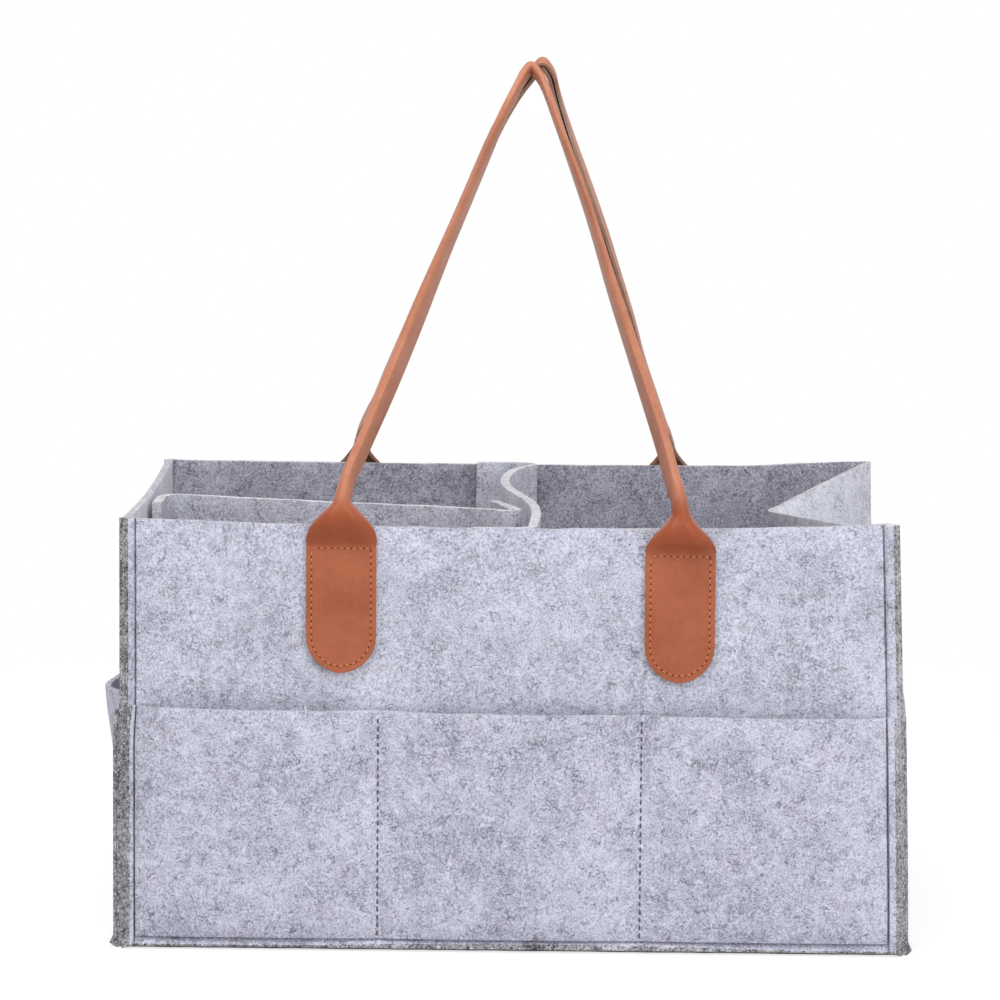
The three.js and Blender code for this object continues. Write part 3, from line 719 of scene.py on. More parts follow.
def build_walls():
    for key, side in SIDES.items():
        crosswise = key in ("left", "right")
        folds = [share for share, _ in GUSSET] if key == "right" else ()
        felt_panel(f"{key}_wall_felt", f"{key}_side_panel" if crosswise else f"{key}_panel", key,
                   even_shares(WALL_STEP, side["reach"], folds), RIM, GAP, FELT, *WALLS[key],
                   GUSSET_PAINTED_LIGHT if key == "right" else FELT_FACE, SIDE_INNER_PAINTED_LIGHT if crosswise else INNER_PAINTED_SHADE)
        joins = () if crosswise else [join + d for join in JOINS for d in (-JOIN_STEP, 0, JOIN_STEP)]
        felt_panel(f"{key}_pocket_felt", f"{key}_pocket_panel", key,
                   even_shares(POCKET_STEP, side["reach"], joins), POCKET_UP, FIRST_POCKET, POCKET_FELT,
                   pocket_outward(key), POCKET_DROPS[key], POCKET_FACE, INNER_PAINTED_SHADE)


# Width and height of the bottom's waves, and its cells along both directions
BOTTOM_WIDE, BOTTOM_HIGH = 40, 0.12
BOTTOM_CELLS = 32, 22


def bottom_surface(layer):
    """Grid of points of one face of the bottom, with a flap all round that goes down to the seam."""
    inset = layer * math.tan((math.pi / 2 - BOTTOM_TURN) / 2)
    spread = SEAM_UP * math.tan(BOTTOM_TURN) - layer / math.cos(BOTTOM_TURN)

    def stations(half, count):
        crease = half - inset
        middle = [-crease + 2 * crease * k / count for k in range(count + 1)]
        return [-half - spread, *middle, half + spread]

    xs, ys = (stations(half, count) for half, count in zip((HALF_LENGTH, HALF_DEPTH), BOTTOM_CELLS))
    rows = []
    for x in xs:
        row = []
        for y in ys:
            flap = x in (xs[0], xs[-1]) or y in (ys[0], ys[-1])
            lift = BOTTOM_HIGH * wave(x / BOTTOM_WIDE, y / BOTTOM_WIDE, 5.5)
            row.append(lean_corner(x, y, 0 if flap else SEAM_UP - layer + lift))
        rows.append(row)
    return rows


def build_bottom():
    outer, inner = bottom_surface(GAP), bottom_surface(GAP + FELT)
    last_i, last_j = len(outer) - 2, len(outer[0]) - 2
    bottom = grid_solid("bottom_felt", outer, inner, [INNER_PAINTED_SHADE, FELT_FACE, FELT_CUT], bevel=0.25,
                        inner_slot=1, present=lambda i, j: not (i in (0, last_i) and j in (0, last_j)))
    declare(bottom, "caddy", "grey_felt", "bottom_panel")


# Stitches of the felt: length, width and height, their pitch, and the first one's distance to the end

JOIN_THREAD, JOIN_PITCH, JOIN_START = (2.1, 0.72, 0.55), 3.3, 0.6
SEAM_THREAD, SEAM_PITCH, SEAM_START = (2.2, 0.45, 0.35), 3.4, 0.8
# How far threads stand out from the felt or the leather, and how far the foot's seam ends before a corner
JOIN_PROUD, SEAM_PROUD, TAB_PROUD, FOOT_END = 0.1, 0.05, 0.02, 5
JOIN_HEIGHTS = [5.6 + 3.09 * k for k in range(31)]
POCKET_LAYER = FIRST_POCKET + POCKET_FELT
# Corner seams below and above the pocket's mouth: lower end, upper end, and the outer layer there
SEAM_PARTS = ((6, 96, POCKET_LAYER), (100, 175, GAP + FELT))


def join_depth(key, share, z):
    """Distance of the pocket's outer face from the wall in the valley along a row of stitches."""
    slope = POCKETS[key](share + JOIN_STEP, z) / (JOIN_STEP * SIDES[key]["reach"])
    return POCKET_LAYER * math.hypot(1, slope)


def join_stitches():
    """Rows of stitches that divide the front and the back pocket panel into three."""
    runs = []
    for key in ("front", "back"):
        side = SIDES[key]
        for share in JOINS:
            line = []
            for z in JOIN_HEIGHTS:
                w = WALLS[key][0](share, z) + ripple(key, share * side["reach"], z) * min(1, z / RIPPLE_FROM)
                w += join_depth(key, share, z) + JOIN_PROUD
                line.append(on_side(side, share * side["reach"], w, z))
            runs += sew(line, JOIN_PITCH, JOIN_START, (*side["out"], 0))
    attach(stitch_row("pocket_join_stitches", runs, THREAD_GREY, *JOIN_THREAD), "caddy")


def seam_stitches():
    """Stitches in the creases of the corner seams and of the bottom seam."""
    runs = []
    for side in SIDES.values():
        for end, turn in zip((-1, 1), side["turns"]):
            if side["along"][0] * end < 0:
                continue
            for low, high, layer in SEAM_PARTS:
                layer *= 1 - CREASE[0][1]
                u = end * (side["reach"] - layer * math.tan(turn / 2) - CREASE_INSET - 0.1)
                line = [on_side(side, u, layer + SEAM_PROUD, low + (high - low) * k / 8) for k in range(9)]
                runs += sew(line, SEAM_PITCH, SEAM_START, (*side["out"], 0))
        layer = POCKET_LAYER * (1 - FOOT_SQUEEZE[FOOT_ROW])
        z = SEAM_UP + layer * math.tan(BOTTOM_TURN / 2)
        half = side["reach"] - FOOT_END
        line = [on_side(side, s / 8 * half, layer + SEAM_PROUD, z + JOIN_PROUD) for s in range(-8, 9)]
        runs += sew(line, SEAM_PITCH, SEAM_START, (*side["out"], 0.3))
    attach(stitch_row("seam_stitches", runs, THREAD_GREY, *SEAM_THREAD), "caddy")


# Leather tabs and straps. A strap's path is across and up, as shares of the tabs' spacing and of its height.

STRAP_PATH = [
    (-0.4985, 0), (-0.4838, 0.044), (-0.448, 0.112), (-0.3542, 0.296), (-0.263, 0.483), (-0.1645, 0.672),
    (-0.0629, 0.865), (-0.0016, 0.962), (0.0161, 0.987), (0.034, 1), (0.0535, 0.987), (0.0735, 0.963),
    (0.1217, 0.866), (0.2124, 0.675), (0.2891, 0.4865), (0.3689, 0.301), (0.4455, 0.118), (0.4745, 0.036),
    (0.49, 0),
]
# How far the back strap's left and right strand lie to the right of the front's, by share of the height
BACK_LEFT_SHIFTS = [
    (0, -2.2), (0.11, -1.3), (0.16, -1.6), (0.27, -1.4), (0.365, -1.1), (0.46, -0.5), (0.55, -0.3),
    (0.644, -0.35), (0.737, -0.4), (0.83, 0.0), (0.93, 2.1), (1, APEX_SHIFT),
]
BACK_RIGHT_SHIFTS = [
    (0, -2.5), (0.13, -3.0), (0.225, -2.8), (0.32, -1.3), (0.46, 0.2), (0.55, 0.95), (0.644, 1.0),
    (0.737, 1.2), (0.83, 1.7), (0.93, 2.7), (1, APEX_SHIFT),
]
STRAIGHT = [(0, 0.0), (1, 0.0)]
TAB_HALF = 15.0


def lowered(depth):
    """How far a funnel lies lower than the left front one, by height above the floor."""
    return [(165, 2.0), (171, depth), (182, depth), (188.5, 1.0), (194, 0.0)]


# Left and right tab: lower end, upper row of stitches, how far the funnel lies lower, and how far the tab
# lies to the right. The strap's top lies higher than in the solids by the lift.
FRONT_TABS = (
    dict(low=115.7, stitch=167.0, drop=STRAIGHT, shift=0.0),
    dict(low=112.9, stitch=165.0, drop=lowered(4.8), shift=-0.9),
)
BACK_TABS = (
    dict(low=114.3, stitch=165.0, drop=lowered(3.0), shift=0.7),
    dict(low=114.3, stitch=165.0, drop=lowered(3.4), shift=0.4),
)
HANDLES = {
    "front": dict(out=-1, neck=0.0, shifts=(STRAIGHT, STRAIGHT), body="front_handle", bow=FRONT_BOW * 0.8,
                  tabs=FRONT_TABS, lift=0.7),
    "back": dict(out=1, neck=NECK_SHIFT, shifts=(BACK_LEFT_SHIFTS, BACK_RIGHT_SHIFTS), body="back_handle",
                 bow=0.0, tabs=BACK_TABS, lift=2.6),
}
STITCH_INSET = 2.9
TAB_PITCH, TAB_START, HOLE_SHIFT = 2.65, 0.2, 1.32
LEATHER_THICK = 1.7
STRAP_THICK = 1.4
STRAP_DEEP = 11.0
# Half width of a plate's lowest section, how far its edges turn back, and how many sections it has in its
# round end and above it
END_HALF, PLATE_DEEP, END_STEPS, PLATE_STEPS = 2.2, 0.3, 8, 13
# How square the sections are
PLATE_POWER, FUNNEL_POWER, STRAP_POWER = 5.0, 3.4, 3.0
# Heights of the funnel above the stitches, with the forward swell, the depth of the fold and the half width
FUNNEL = [
    (167.0, 0.0, 0.35, 14.9), (168.5, 0.5, 0.8, 14.7), (171.0, 2.2, 2.2, 14.5), (173.5, 3.9, 3.6, 13.8),
    (175.3, 5.0, 4.6, 13.0), (176.8, 5.8, 5.2, 12.1), (178.3, 6.4, 5.9, 10.9), (180.4, 6.9, 7.2, 8.9),
    (182.8, 6.8, 8.7, 6.7), (186.6, 5.3, 10.3, 4.05), (189.4, 3.9, 10.8, 3.5), (194.0, 2.6, 11.0, 3.2),
]
FUNNEL_SWELL, FUNNEL_DEEP, FUNNEL_HALF = ([(row[0], row[k]) for row in FUNNEL] for k in (1, 2, 3))
# From this height on the funnel turns towards the strap
TURN_FROM = 181
# Height of the gathers in the funnel, by height above the floor
GATHERS = [(169, 0.0), (173, 0.35), (178, 0.6), (184, 0.45), (188, 0.0)]
GATHER_COUNT = 3
# Half width and depth of the folded strap, by height above its neck
STRAP_HALF = [
    (0, 3.4), (10, 2.8), (25, 2.55), (50, 2.55), (80, 2.5), (100, 2.25), (120, 1.95), (150, 1.8), (190, 1.8),
    (200, 1.95),
]
STRAP_DEPTHS = [(0, STRAP_DEEP), (150, STRAP_DEEP), (180, 6.6), (200, 5.6)]
# Near its top the flatter strap lies further in, so that the two straps still meet
STRAP_INWARD = [(0, 0.0), (140, 0.0), (180, 4.0), (200, 5.0)]
# Above its neck the strap bends over this height until it leans fully
NECK_BEND = 14
# Twist of the front strap's strands by height, in degrees, where plus shows the right flank from the front
TWIST = {
    ("front", -1): [(0, 0), (15, 2), (50, 7), (90, 6), (120, 0), (150, -2), (200, 0)],
    ("front", 1): [(0, -6), (30, -6), (80, 0), (130, 2), (170, 7), (200, 2)],
}


def catmull(points, per):
    """Smooth line through plan points, drawn tight round sharp bends."""
    points = [Vector(p) for p in points]
    padded = [2 * points[0] - points[1], *points, 2 * points[-1] - points[-2]]
    out = []
    for four in zip(padded, padded[1:], padded[2:], padded[3:]):
        knots = [0.0]
        for a, b in zip(four, four[1:]):
            knots.append(knots[-1] + (b - a).length ** 0.5)
        for s in range(per):
            t = knots[1] + (knots[2] - knots[1]) * s / per
            found = four
            for span in (1, 2):
                found = [a.lerp(b, (t - knots[i]) / (knots[i + span] - knots[i]))
                         for i, (a, b) in enumerate(zip(found, found[1:]))]
            out.append(tuple(found[0].lerp(found[1], (t - knots[1]) / (knots[2] - knots[1]))))
    out.append(tuple(points[-1]))
    return out


def fold_section(row, count=12, fine_count=60):
    """Middle line of the folded leather: across, and back from the front of the fold, in even steps."""
    half, depth, power = row["half"] - row["thick"] / 2, row["depth"], 2 / row["power"]
    fine = []
    for k in range(-fine_count, fine_count + 1):
        t = k / fine_count * math.pi / 2
        back = depth * (1 - math.cos(t) ** power) if abs(k) < fine_count else depth
        fine.append((half * math.copysign(abs(math.sin(t)) ** power, t), back))
    lengths = [0.0]
    for a, b in zip(fine, fine[1:]):
        lengths.append(lengths[-1] + math.dist(a, b))
    out = []
    for k in range(2 * count + 1):
        at = lengths[-1] * k / (2 * count)
        i = next(i for i in range(1, len(lengths)) if lengths[i] >= at - 1e-9)
        f = (at - lengths[i - 1]) / max(1e-9, lengths[i] - lengths[i - 1])
        out.append(tuple(a + (b - a) * f for a, b in zip(fine[i - 1], fine[i])))
    return out


ACROSS = Vector((1, 0, 0))


def leaning(out, turn):
    """Direction out of leather that leans back by the turn."""
    return Vector((0, out * math.cos(turn), math.sin(turn)))


def plate_sections(info, face, centre, tab):
    """Sections of a tab's flat plate, from its round end up to its upper row of stitches."""
    rows = []
    for k in range(END_STEPS + 1):
        a = math.pi / 2 * (k / END_STEPS)
        z = tab["low"] + TAB_HALF * (1 - math.cos(a))
        rows.append((z, max(END_HALF, TAB_HALF * math.sin(a)), PLATE_DEEP * math.sin(a)))
    straight = tab["stitch"] - tab["low"] - TAB_HALF
    for k in range(PLATE_STEPS):
        rows.append((tab["low"] + TAB_HALF + straight * (k + 1) / PLATE_STEPS, TAB_HALF, PLATE_DEEP))
    flat = dict(wide=ACROSS, normal=leaning(info["out"], 0), power=PLATE_POWER, thick=LEATHER_THICK,
                gather=0.0)
    return [dict(flat, place=Vector((centre, info["out"] * face, z)), half=half, depth=depth)
            for z, half, depth in rows]


def funnel_sections(info, face, centre, neck, tab, step=0.8):
    """Sections from the stitches up to the neck, where the leather has folded together."""
    rows = []
    z = tab["stitch"]
    while z < PIVOT_UP - 0.1:
        z += step
        height = z + lerp(tab["drop"], z)
        upward = (z - TURN_FROM) / (PIVOT_UP - TURN_FROM)
        t, turn = smooth(upward), min(1, max(0, upward)) ** 2 * 0.5 * LEAN
        away = info["out"] * (face + smooth_table(FUNNEL_SWELL, height))
        rows.append(dict(
            place=Vector((centre + (neck - centre) * t, away, z)), wide=ACROSS,
            normal=leaning(info["out"], turn), half=smooth_table(FUNNEL_HALF, height),
            depth=smooth_table(FUNNEL_DEEP, height), power=FUNNEL_POWER + (STRAP_POWER - FUNNEL_POWER) * t,
            thick=LEATHER_THICK + (STRAP_THICK - LEATHER_THICK) * t, gather=lerp(GATHERS, height)))
    return rows


def strap_sections(key, info, pivot, path, skip=3):
    """Sections of the folded strap between the two necks."""
    out = info["out"]
    up = Vector((0, -out * math.sin(LEAN), math.cos(LEAN)))
    top = max(range(len(path)), key=lambda k: path[k][1])
    rows = []
    for k in range(skip, len(path) - skip):
        (x, h), before, after = path[k], path[k - 1], path[k + 1]
        forward = Vector((after[0] - before[0], after[1] - before[1])).normalized()
        travel = (ACROSS * forward.x + up * forward.y).normalized()
        wide = (ACROSS * forward.y - up * forward.x).normalized()
        strand = -1 if k < top else 1
        spin = Matrix.Rotation(math.radians(lerp(TWIST.get((key, strand), STRAIGHT), h)) * strand, 3, travel)
        normal = spin @ leaning(out, LEAN * (0.5 + 0.5 * min(1, h / NECK_BEND)))
        place = pivot + ACROSS * x + up * h + normal * (STRAP_DEEP / 2)
        place -= Vector((0, out * smooth_table(STRAP_INWARD, h), 0))
        rows.append(dict(
            place=place, wide=spin @ wide, normal=normal, half=smooth_table(STRAP_HALF, h),
            depth=smooth_table(STRAP_DEPTHS, h), power=STRAP_POWER, thick=STRAP_THICK, gather=0.0))
    return rows


def strip_surface(rows, side):
    """Grid of points on the outer side, -1, or the inner side, 1, of the leather."""
    surface = []
    for row in rows:
        section = fold_section(row)
        shifted = shifted_line(section, [side * row["thick"] / 2] * len(section))
        points = []
        for k, (a, b) in enumerate(shifted):
            share = 2 * k / (len(shifted) - 1) - 1
            gather = row["gather"] * math.cos(math.pi * GATHER_COUNT * share) * (1 - share * share)
            back = b + row["thick"] / 2 + gather
            points.append(row["place"] + row["wide"] * a - row["normal"] * back)
        surface.append(points)
    return surface


def tab_stitch_lines(centre, y, tab):
    """Row of stitches round a tab, and the row across its upper end."""
    r = TAB_HALF - STITCH_INSET
    low, top = tab["low"] + TAB_HALF, tab["stitch"]
    line = [(centre - r, y, top - 0.8), (centre - r, y, low)]
    for k in range(1, 16):
        a = math.pi * k / 16
        line.append((centre - r * math.cos(a), y, low - r * math.sin(a)))
    line += [(centre + r, y, low), (centre + r, y, top - 0.8)]
    return line, [(centre - r, y, top), (centre + r, y, top)]


def tab_stitches(key, info, face, centres):
    """Stitches of both tabs, painted shade of the needle holes between them, and the same stitches inside
    the wall.
    """
    out = info["out"]
    runs, holes, inside = [], [], []
    for centre, tab in zip(centres, info["tabs"]):
        for places in tab_stitch_lines(centre, out * (face + TAB_PROUD), tab):
            for place, along in even_places(places, TAB_PITCH, TAB_START):
                runs.append((place, along, (0, out, 0)))
                holes.append((place + along * HOLE_SHIFT, along, (0, out, 0)))
                w = WALLS[key][0](abs(place.x) / HALF_LENGTH, place.z) + ripple(key, -out * place.x, place.z)
                inner = Vector((place.x, out * (HALF_DEPTH + GAP + w - SEAM_PROUD), place.z))
                inside.append((inner, along, (0, -out, 0)))
    for name, part, material, sizes, slot in (
        ("tab_stitches", runs, THREAD_TAN, (1.8, 0.66, 0.55), "tab_leather"),
        ("tab_stitch_hole_painted_shade", holes, HOLE_PAINTED_SHADE, (0.9, 0.6, 0.2), "tab_leather"),
        ("tab_stitches_inside", inside, THREAD_INSIDE, (1.2, 0.4, 0.3), "grey_felt"),
    ):
        declare(stitch_row(f"{key}_{name}", part, material, *sizes), "caddy", slot)


def strap_line(info):
    """Line of one strap in its own plane."""
    line = catmull(STRAP_PATH, 5)
    top = max(range(len(line)), key=lambda k: line[k][1])
    points = []
    for k, (x, h) in enumerate(line):
        shift = smooth_table(info["shifts"][k > top], max(0.0, h))
        points.append((x * TAB_SPACING + shift, h * HANDLE + info["lift"] * h ** 8))
    return points


def fade(z, start, over):
    return smooth((z - start) / over)


# Share of each other tone of the leather, by height: painted shade in the funnel, and painted sheen above
# the neck
SHADE_AND_SHEEN_SHARES = {
    "funnel_painted_shade": lambda z: fade(z, 166, 4) * (1 - fade(z, TURN_FROM, 9)),
    "strap_painted_sheen": lambda z: fade(z, 184, 10),
}


def mark_shade_and_sheen(piece):
    # Attributes that place the painted shade and painted sheen of the leather
    for name, share in SHADE_AND_SHEEN_SHARES.items():
        shares = piece.data.attributes.new(name, "FLOAT", "POINT")
        for vertex, entry in zip(piece.data.vertices, shares.data):
            entry.value = share(vertex.co.z / MM)


def build_handle(key):
    """One piece of leather from tab to tab, which bends at both necks, and the stitches of its tabs."""
    info = HANDLES[key]
    out, tabs = info["out"], info["tabs"]
    face = HALF_DEPTH + GAP + FELT + info["bow"] + CLEAR + LEATHER_THICK
    pivot = Vector((0, out * PIVOT_OUT, PIVOT_UP))
    path = strap_line(info)
    centres = [info["neck"] + end * TAB_SPACING / 2 + tab["shift"] for end, tab in zip((-1, 1), tabs)]
    left, right = (
        plate_sections(info, face, centre, tab) + funnel_sections(info, face, centre, neck[0], tab)
        for centre, neck, tab in zip(centres, (path[0], path[-1]), tabs)
    )
    rows = left + strap_sections(key, info, pivot, path)
    rows += [dict(row, wide=-row["wide"]) for row in reversed(right)]
    handle = grid_solid(f"{key}_handle_leather", strip_surface(rows, -1), strip_surface(rows, 1),
                        [LEATHER, FLESH_SIDE_AND_LIGHT, LEATHER_CUT], bevel=0.25, inner_slot=1)
    mark_shade_and_sheen(handle)
    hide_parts(f"{key}_handle_left_tab", f"{key}_handle_right_tab", f"{key}_handle_strap")
    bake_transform(handle)
    tab_stitches(key, info, face, centres)


# Dividers. Each stands on the bottom, with the hook strip of a folded end between its felt and the wall.

DIVIDER_LOW = SEAM_UP - GAP + CLEAR
DIVIDER_INSET = CLEAR + HOOK_THICK + CLEAR + DIVIDER_FELT / 2
DIVIDER_ROWS, DIVIDER_STEP = 30, 4
# Width and height of the standing felt's waves, and of its upper edge's unevenness
STAND_WIDE, STAND_HIGH, TOP_WIDE, TOP_HIGH = 30, 0.25, 12, 0.3
# Upper edge of the centre divider in its middle and its rise to the back, and the same of the long divider
CENTRE_TOP, CENTRE_RISE, LONG_TOP, LONG_RISE = 177, 2, 176.5, 0.6
# Length of a folded end, room that its bend takes, and radius of the corners of each divider
FOLD_LENGTH, FOLD_ROOM, FOLD_RADIUS, LONG_RADIUS = 25, 3.5, 2.5, 2.0


def round_corners(points, radius, steps=3):
    """Plan line with each corner rounded."""
    points = [Vector(p) for p in points]
    out = [points[0]]
    for a, b, c in zip(points, points[1:], points[2:]):
        back, ahead = (a - b), (c - b)
        reach = min(radius, back.length * 0.45, ahead.length * 0.45)
        p, q = b + back.normalized() * reach, b + ahead.normalized() * reach
        for k in range(steps + 1):
            t = k / steps
            out.append(p.lerp(b, t).lerp(b.lerp(q, t), t))
    out.append(points[-1])
    return out


def dense(points, step):
    out = []
    for a, b in zip(points, points[1:]):
        count = max(1, round((b - a).length / step))
        out += [a.lerp(b, k / count) for k in range(count)]
    out.append(points[-1])
    return out


def standing_felt(name, line, radius, top, face):
    """A felt strip that stands on its edge along a plan line. Its upper edge follows the given heights."""
    points = dense(round_corners(line, radius), DIVIDER_STEP)

    def surface(distance):
        plan = shifted_line([tuple(p) for p in points], [distance] * len(points))
        found = []
        for i in range(DIVIDER_ROWS + 1):
            row = []
            for x, y in plan:
                z = DIVIDER_LOW + (top(x, y) - DIVIDER_LOW) * i / DIVIDER_ROWS
                n = STAND_HIGH * wave(x / STAND_WIDE, y / STAND_WIDE, z / STAND_WIDE + 7)
                if i == DIVIDER_ROWS:
                    z += TOP_HIGH * wave(x / TOP_WIDE, y / TOP_WIDE, 3.3) - TOP_HIGH
                row.append((x + n, y + n * 0.5, z))
            found.append(row)
        return found

    piece = grid_solid(f"{name}_felt", surface(DIVIDER_FELT / 2), surface(-DIVIDER_FELT / 2),
                       [face, DIVIDER_EDGE_PAINTED_LIGHT], bevel=0.4)
    declare(piece, name, "divider_felt", name)
    length = sum((b - a).length for a, b in zip(points, points[1:]))


# Waves of the centre divider: across as a share of half the length, and from the front to the back
CENTRE_SHARES = [
    (0.055, 0.113), (0.058, 0.21), (0.055, 0.3), (0.045, 0.37), (0.023, 0.45), (-0.008, 0.54),
    (-0.03, 0.627), (-0.037, 0.7), (-0.034, 0.78), (-0.018, 0.865), (0.012, 0.925),
]
FRONT_FOLD = 0.053


def build_centre_divider():
    middle = [(x * HALF_LENGTH, t * 2 * HALF_DEPTH - HALF_DEPTH) for x, t in CENTRE_SHARES]
    front_x, back_x = FRONT_FOLD * HALF_LENGTH, middle[-1][0] + FOLD_ROOM
    front_y, back_y = DIVIDER_INSET - HALF_DEPTH, HALF_DEPTH - DIVIDER_INSET + GAP
    curve = catmull([(front_x, front_y + FOLD_ROOM), *middle, (back_x, back_y - 2 * FOLD_ROOM),
                     (back_x, back_y - FOLD_ROOM)], 4)
    line = [(front_x - FOLD_LENGTH, front_y), (front_x - FOLD_ROOM, front_y), *curve,
            (back_x - FOLD_ROOM, back_y), (back_x - FOLD_LENGTH, back_y)]
    standing_felt("centre_divider", line, FOLD_RADIUS,
                  lambda x, y: CENTRE_TOP + CENTRE_RISE * y / HALF_DEPTH, CENTRE_FACE_PAINTED_LIGHT)


# Wave of the long divider between its left fold and its turn at the centre divider
LONG_WAVE = [(-135, -12), (-91, -27), (-48.5, -40.5), (-19, -48.5), (-4.5, -57.5)]
LONG_TURN = [(0.3, -60.3), (1.2, -57), (-4.5, -36), (-9, -21)]


def build_long_divider():
    left_x = DIVIDER_INSET - HALF_LENGTH - LEFT_BOW
    fold = [(left_x, -40), (left_x, -16), (left_x + 1.75, -12.5), (left_x + FOLD_ROOM, -9)]
    line = [*fold, *catmull([(left_x + 9, -9), *LONG_WAVE], 4), *LONG_TURN]
    standing_felt("long_divider", line, LONG_RADIUS,
                  lambda x, y: LONG_TOP + LONG_RISE * smooth((x + 4) / 4), LONG_FACE)


def finish_hook_strips():
    for name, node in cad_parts.items():
        if name.endswith("_hook_strip"):
            node.data.materials.clear()
            node.data.materials.append(HOOKS)


# Fuzz along the raw edges, and one loose white thread on the front

HAIR_GRAIN = Vector((0.37, 0.88, 0.29))
HAIR_TURNS = [math.tau * n / 3 for n in range(3)]
# Fuzz stays away from the back hook strip of the centre divider, which slides past the rim
FUZZ_CLEAR = 0.004
FUZZ_COUNT, BACK_FUZZ_COUNT = 420, 300


def hair_solids(name, hairs, material):
    """Thin hairs with three flat sides: each is a line of points in millimetres and a width."""
    bm = bmesh.new()
    for points, width in hairs:
        rings = []
        for k, centre in enumerate(points):
            along = (points[min(k + 1, len(points) - 1)] - points[max(k - 1, 0)]).normalized()
            side = along.cross(HAIR_GRAIN).normalized()
            other = along.cross(side)
            radius = width / 2 * (1 - 0.7 * (k / (len(points) - 1)) ** 2)
            rings.append([centre + (side * math.cos(a) + other * math.sin(a)) * radius for a in HAIR_TURNS])
        add_tube(bm, rings, False)
    bmesh.ops.recalc_face_normals(bm, faces=bm.faces)
    declare(add_object(bm, name, [material]), "caddy", "grey_felt")


def rim_places(key, count, dice):
    """Random places on the upper edge of one side's felt."""
    side = SIDES[key]
    outward, drop = WALLS[key]
    for _ in range(count):
        share = dice.uniform(-0.99, 0.99)
        w = dice.uniform(GAP + 0.2, GAP + FELT - 0.2)
        w += outward(share, RIM)
        yield Vector(on_side(side, share * side["reach"], w, RIM - drop(share, RIM) - 0.15))


def edge_fuzz():
    dice = random.Random(5)
    roots = []
    for key in SIDES:
        roots += rim_places(key, BACK_FUZZ_COUNT if key == "back" else FUZZ_COUNT, dice)
    fibres = []
    strip_low, strip_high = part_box("centre_divider_back_hook_strip")
    for root in roots:
        along = Vector((dice.gauss(0, 1), dice.gauss(0, 1), dice.uniform(0.1, 1.2)))
        bend = Vector((dice.gauss(0, 0.4), dice.gauss(0, 0.4), dice.gauss(-0.1, 0.2)))
        length = dice.uniform(0.5, 1.5)
        if root.y > 100 and strip_low[0] - FUZZ_CLEAR < root.x * MM < strip_high[0] + FUZZ_CLEAR:
            continue
        points = [root + along.normalized() * length * t + bend * t * t for t in (0, 0.35, 0.7, 1)]
        fibres.append((points, dice.uniform(0.05, 0.1)))
    hair_solids("rim_fuzz", fibres, THREAD_WHITE)


# Loose thread on the front pocket, across and up on the felt, its width, and how far the pocket swells there
LOOSE_THREAD = [
    (-83.9, 102.6), (-83.4, 101.4), (-83.3, 100.0), (-83.7, 98.6), (-83.9, 97.9), (-83.4, 97.4),
    (-82.6, 97.5), (-81.8, 98.0),
]
LOOSE_WIDTH, LOOSE_OUT = 0.75, 7.9


def loose_thread():
    face = -(HALF_DEPTH + FIRST_POCKET + POCKET_FELT + LOOSE_OUT)
    points = [Vector((x, face, z)) for x, z in catmull(LOOSE_THREAD, 3)]
    hair_solids("loose_thread", [(points, LOOSE_WIDTH)], THREAD_WHITE)


build_walls()
build_bottom()
join_stitches()
seam_stitches()
for handle_key in HANDLES:
    build_handle(handle_key)
build_centre_divider()
build_long_divider()
finish_hook_strips()
edge_fuzz()
loose_thread()


# Floor, light, camera

WHITE = (1, 1, 1, 1)
# The floor is partly matt close to the object, and only white from the second distance on, in metres
MATT_UNTIL, WHITE_FROM = 0.3, 0.8
FLOOR_SIZE = 12


def seen_rays(net):
    """1 for rays from the camera and for those that a mirror or a glass passes on."""
    path = net.add("LightPath").outputs
    seen = net.calc("MAXIMUM", path["Is Camera Ray"], path["Is Glossy Ray"])
    return net.calc("MAXIMUM", seen, path["Is Transmission Ray"])


def mix_shader(net, share, first, second):
    return net.add("MixShader", {"Fac": share, 1: first, 2: second}).outputs[0]


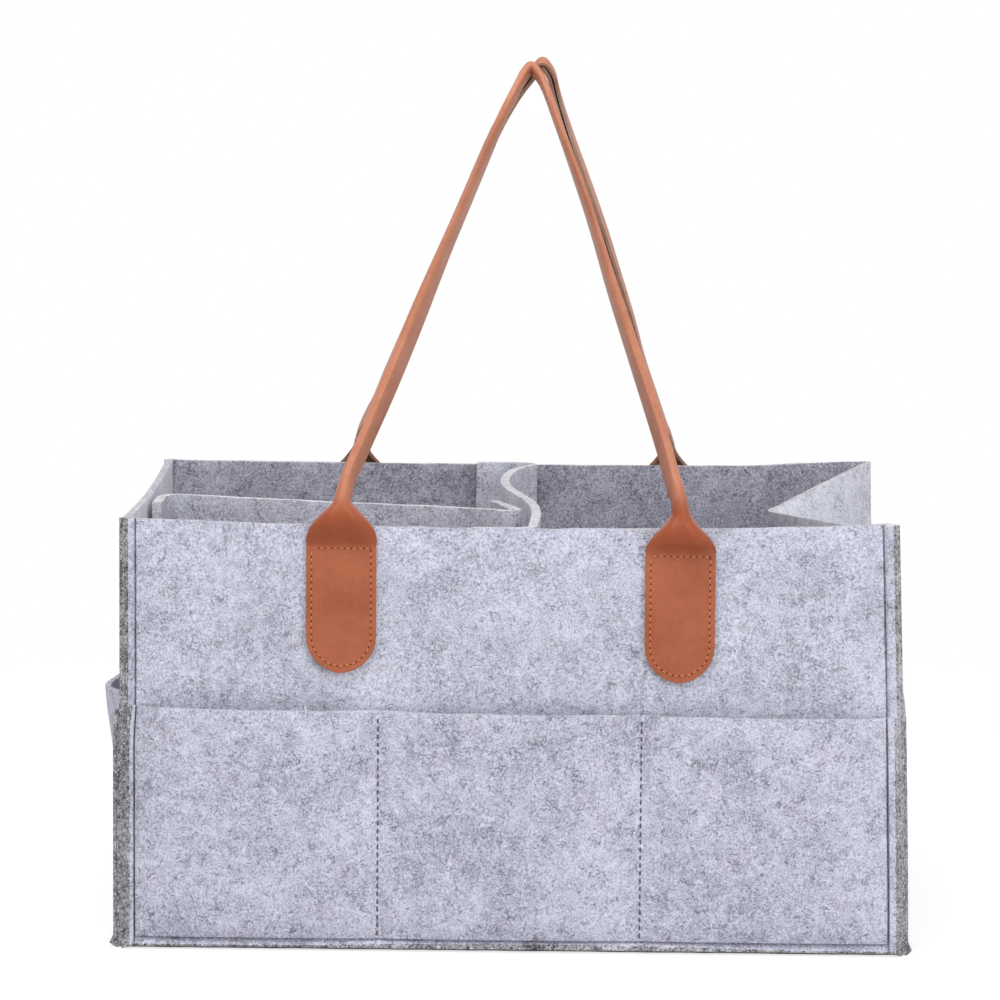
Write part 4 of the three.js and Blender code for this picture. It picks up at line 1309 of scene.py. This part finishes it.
def build_floor():
    """White floor. Close to the object it is partly matt, so that it keeps the object's shadow."""
    bpy.ops.mesh.primitive_plane_add(size=FLOOR_SIZE, location=(0, 0, 0))
    floor = bpy.context.object
    floor.name = "floor"
    mat, net, shader = new_material("floor_white")
    net.fill(shader, {"Base Color": (0.7, 0.7, 0.7, 1), "Roughness": 0.9})
    glow = net.add("Emission", {"Strength": 0.74}).outputs[0]
    matt = net.add("BsdfDiffuse", {"Color": (0.34, 0.34, 0.34, 1)}).outputs[0]
    both = net.add("AddShader", {0: glow, 1: matt}).outputs[0]
    distance = net.add("VectorMath", {0: net.coord()}, operation="LENGTH").outputs["Value"]
    away = net.add("MapRange", {"From Min": MATT_UNTIL, "From Max": WHITE_FROM, "Value": distance},
                   interpolation_type="SMOOTHSTEP").outputs["Result"]
    around = mix_shader(net, away, both, net.add("Emission").outputs[0])
    output = next(n for n in net.nodes if n.type == "OUTPUT_MATERIAL")
    net.fill(output, {"Surface": mix_shader(net, seen_rays(net), shader.outputs[0], around)})
    floor.data.materials.append(mat)


def build_world():
    """White to the camera, and dimmer as a light."""
    world = bpy.data.worlds.new("studio")
    bpy.context.scene.world = world
    net = Net(world)
    net.nodes.clear()
    dim = net.add("Background", {"Color": WHITE, "Strength": 0.46}).outputs[0]
    white = net.add("Background", {"Color": WHITE}).outputs[0]
    net.add("OutputWorld", {"Surface": mix_shader(net, seen_rays(net), dim, white)})


# Place, target and size of each area lamp in metres, and its power
LAMPS = {
    "key": ((-0.35, -1.0, 1.7), (0, 0, 0.12), (1.4, 1.0), 18),
    "fill": ((1.2, -1.5, 0.8), (0, 0, 0.12), (1.2, 1.0), 11),
    "top": ((0, 0.3, 1.9), (0, 0, 0.1), (1.6, 1.2), 7),
}


def build_lamps():
    for name, (place, target, size, power) in LAMPS.items():
        data = bpy.data.lights.new(name, "AREA")
        data.shape = "RECTANGLE"
        data.size, data.size_y = size
        data.energy = power
        lamp = new_object(name, data)
        lamp.location = place
        lamp.rotation_euler = (Vector(target) - Vector(place)).to_track_quat("-Z", "Y").to_euler()


# The camera that was fitted to the photo: place in metres, turns in radians, focal length in pixels
CAMERA_PLACE = (0.03409858, -2.22615338, 0.43458233)
YAW, PITCH, ROLL = 0.01854, 0.11653, 0.00743
FOCAL, PHOTO_WIDTH, SENSOR = 5232.197, 1000, 36


def build_camera():
    data = bpy.data.cameras.new("camera")
    data.sensor_fit = "HORIZONTAL"
    data.sensor_width = SENSOR
    data.lens = FOCAL * SENSOR / PHOTO_WIDTH
    data.clip_end = 50
    camera = new_object("camera", data)
    aim = Matrix.Rotation(YAW, 4, "Z") @ Matrix.Rotation(math.pi / 2 - PITCH, 4, "X")
    camera.matrix_world = Matrix.Translation(CAMERA_PLACE) @ aim @ Matrix.Rotation(ROLL, 4, "Z")
    bpy.context.scene.camera = camera


build_floor()
build_world()
build_lamps()
build_camera()
bpy.context.scene.view_settings.view_transform = "Standard"
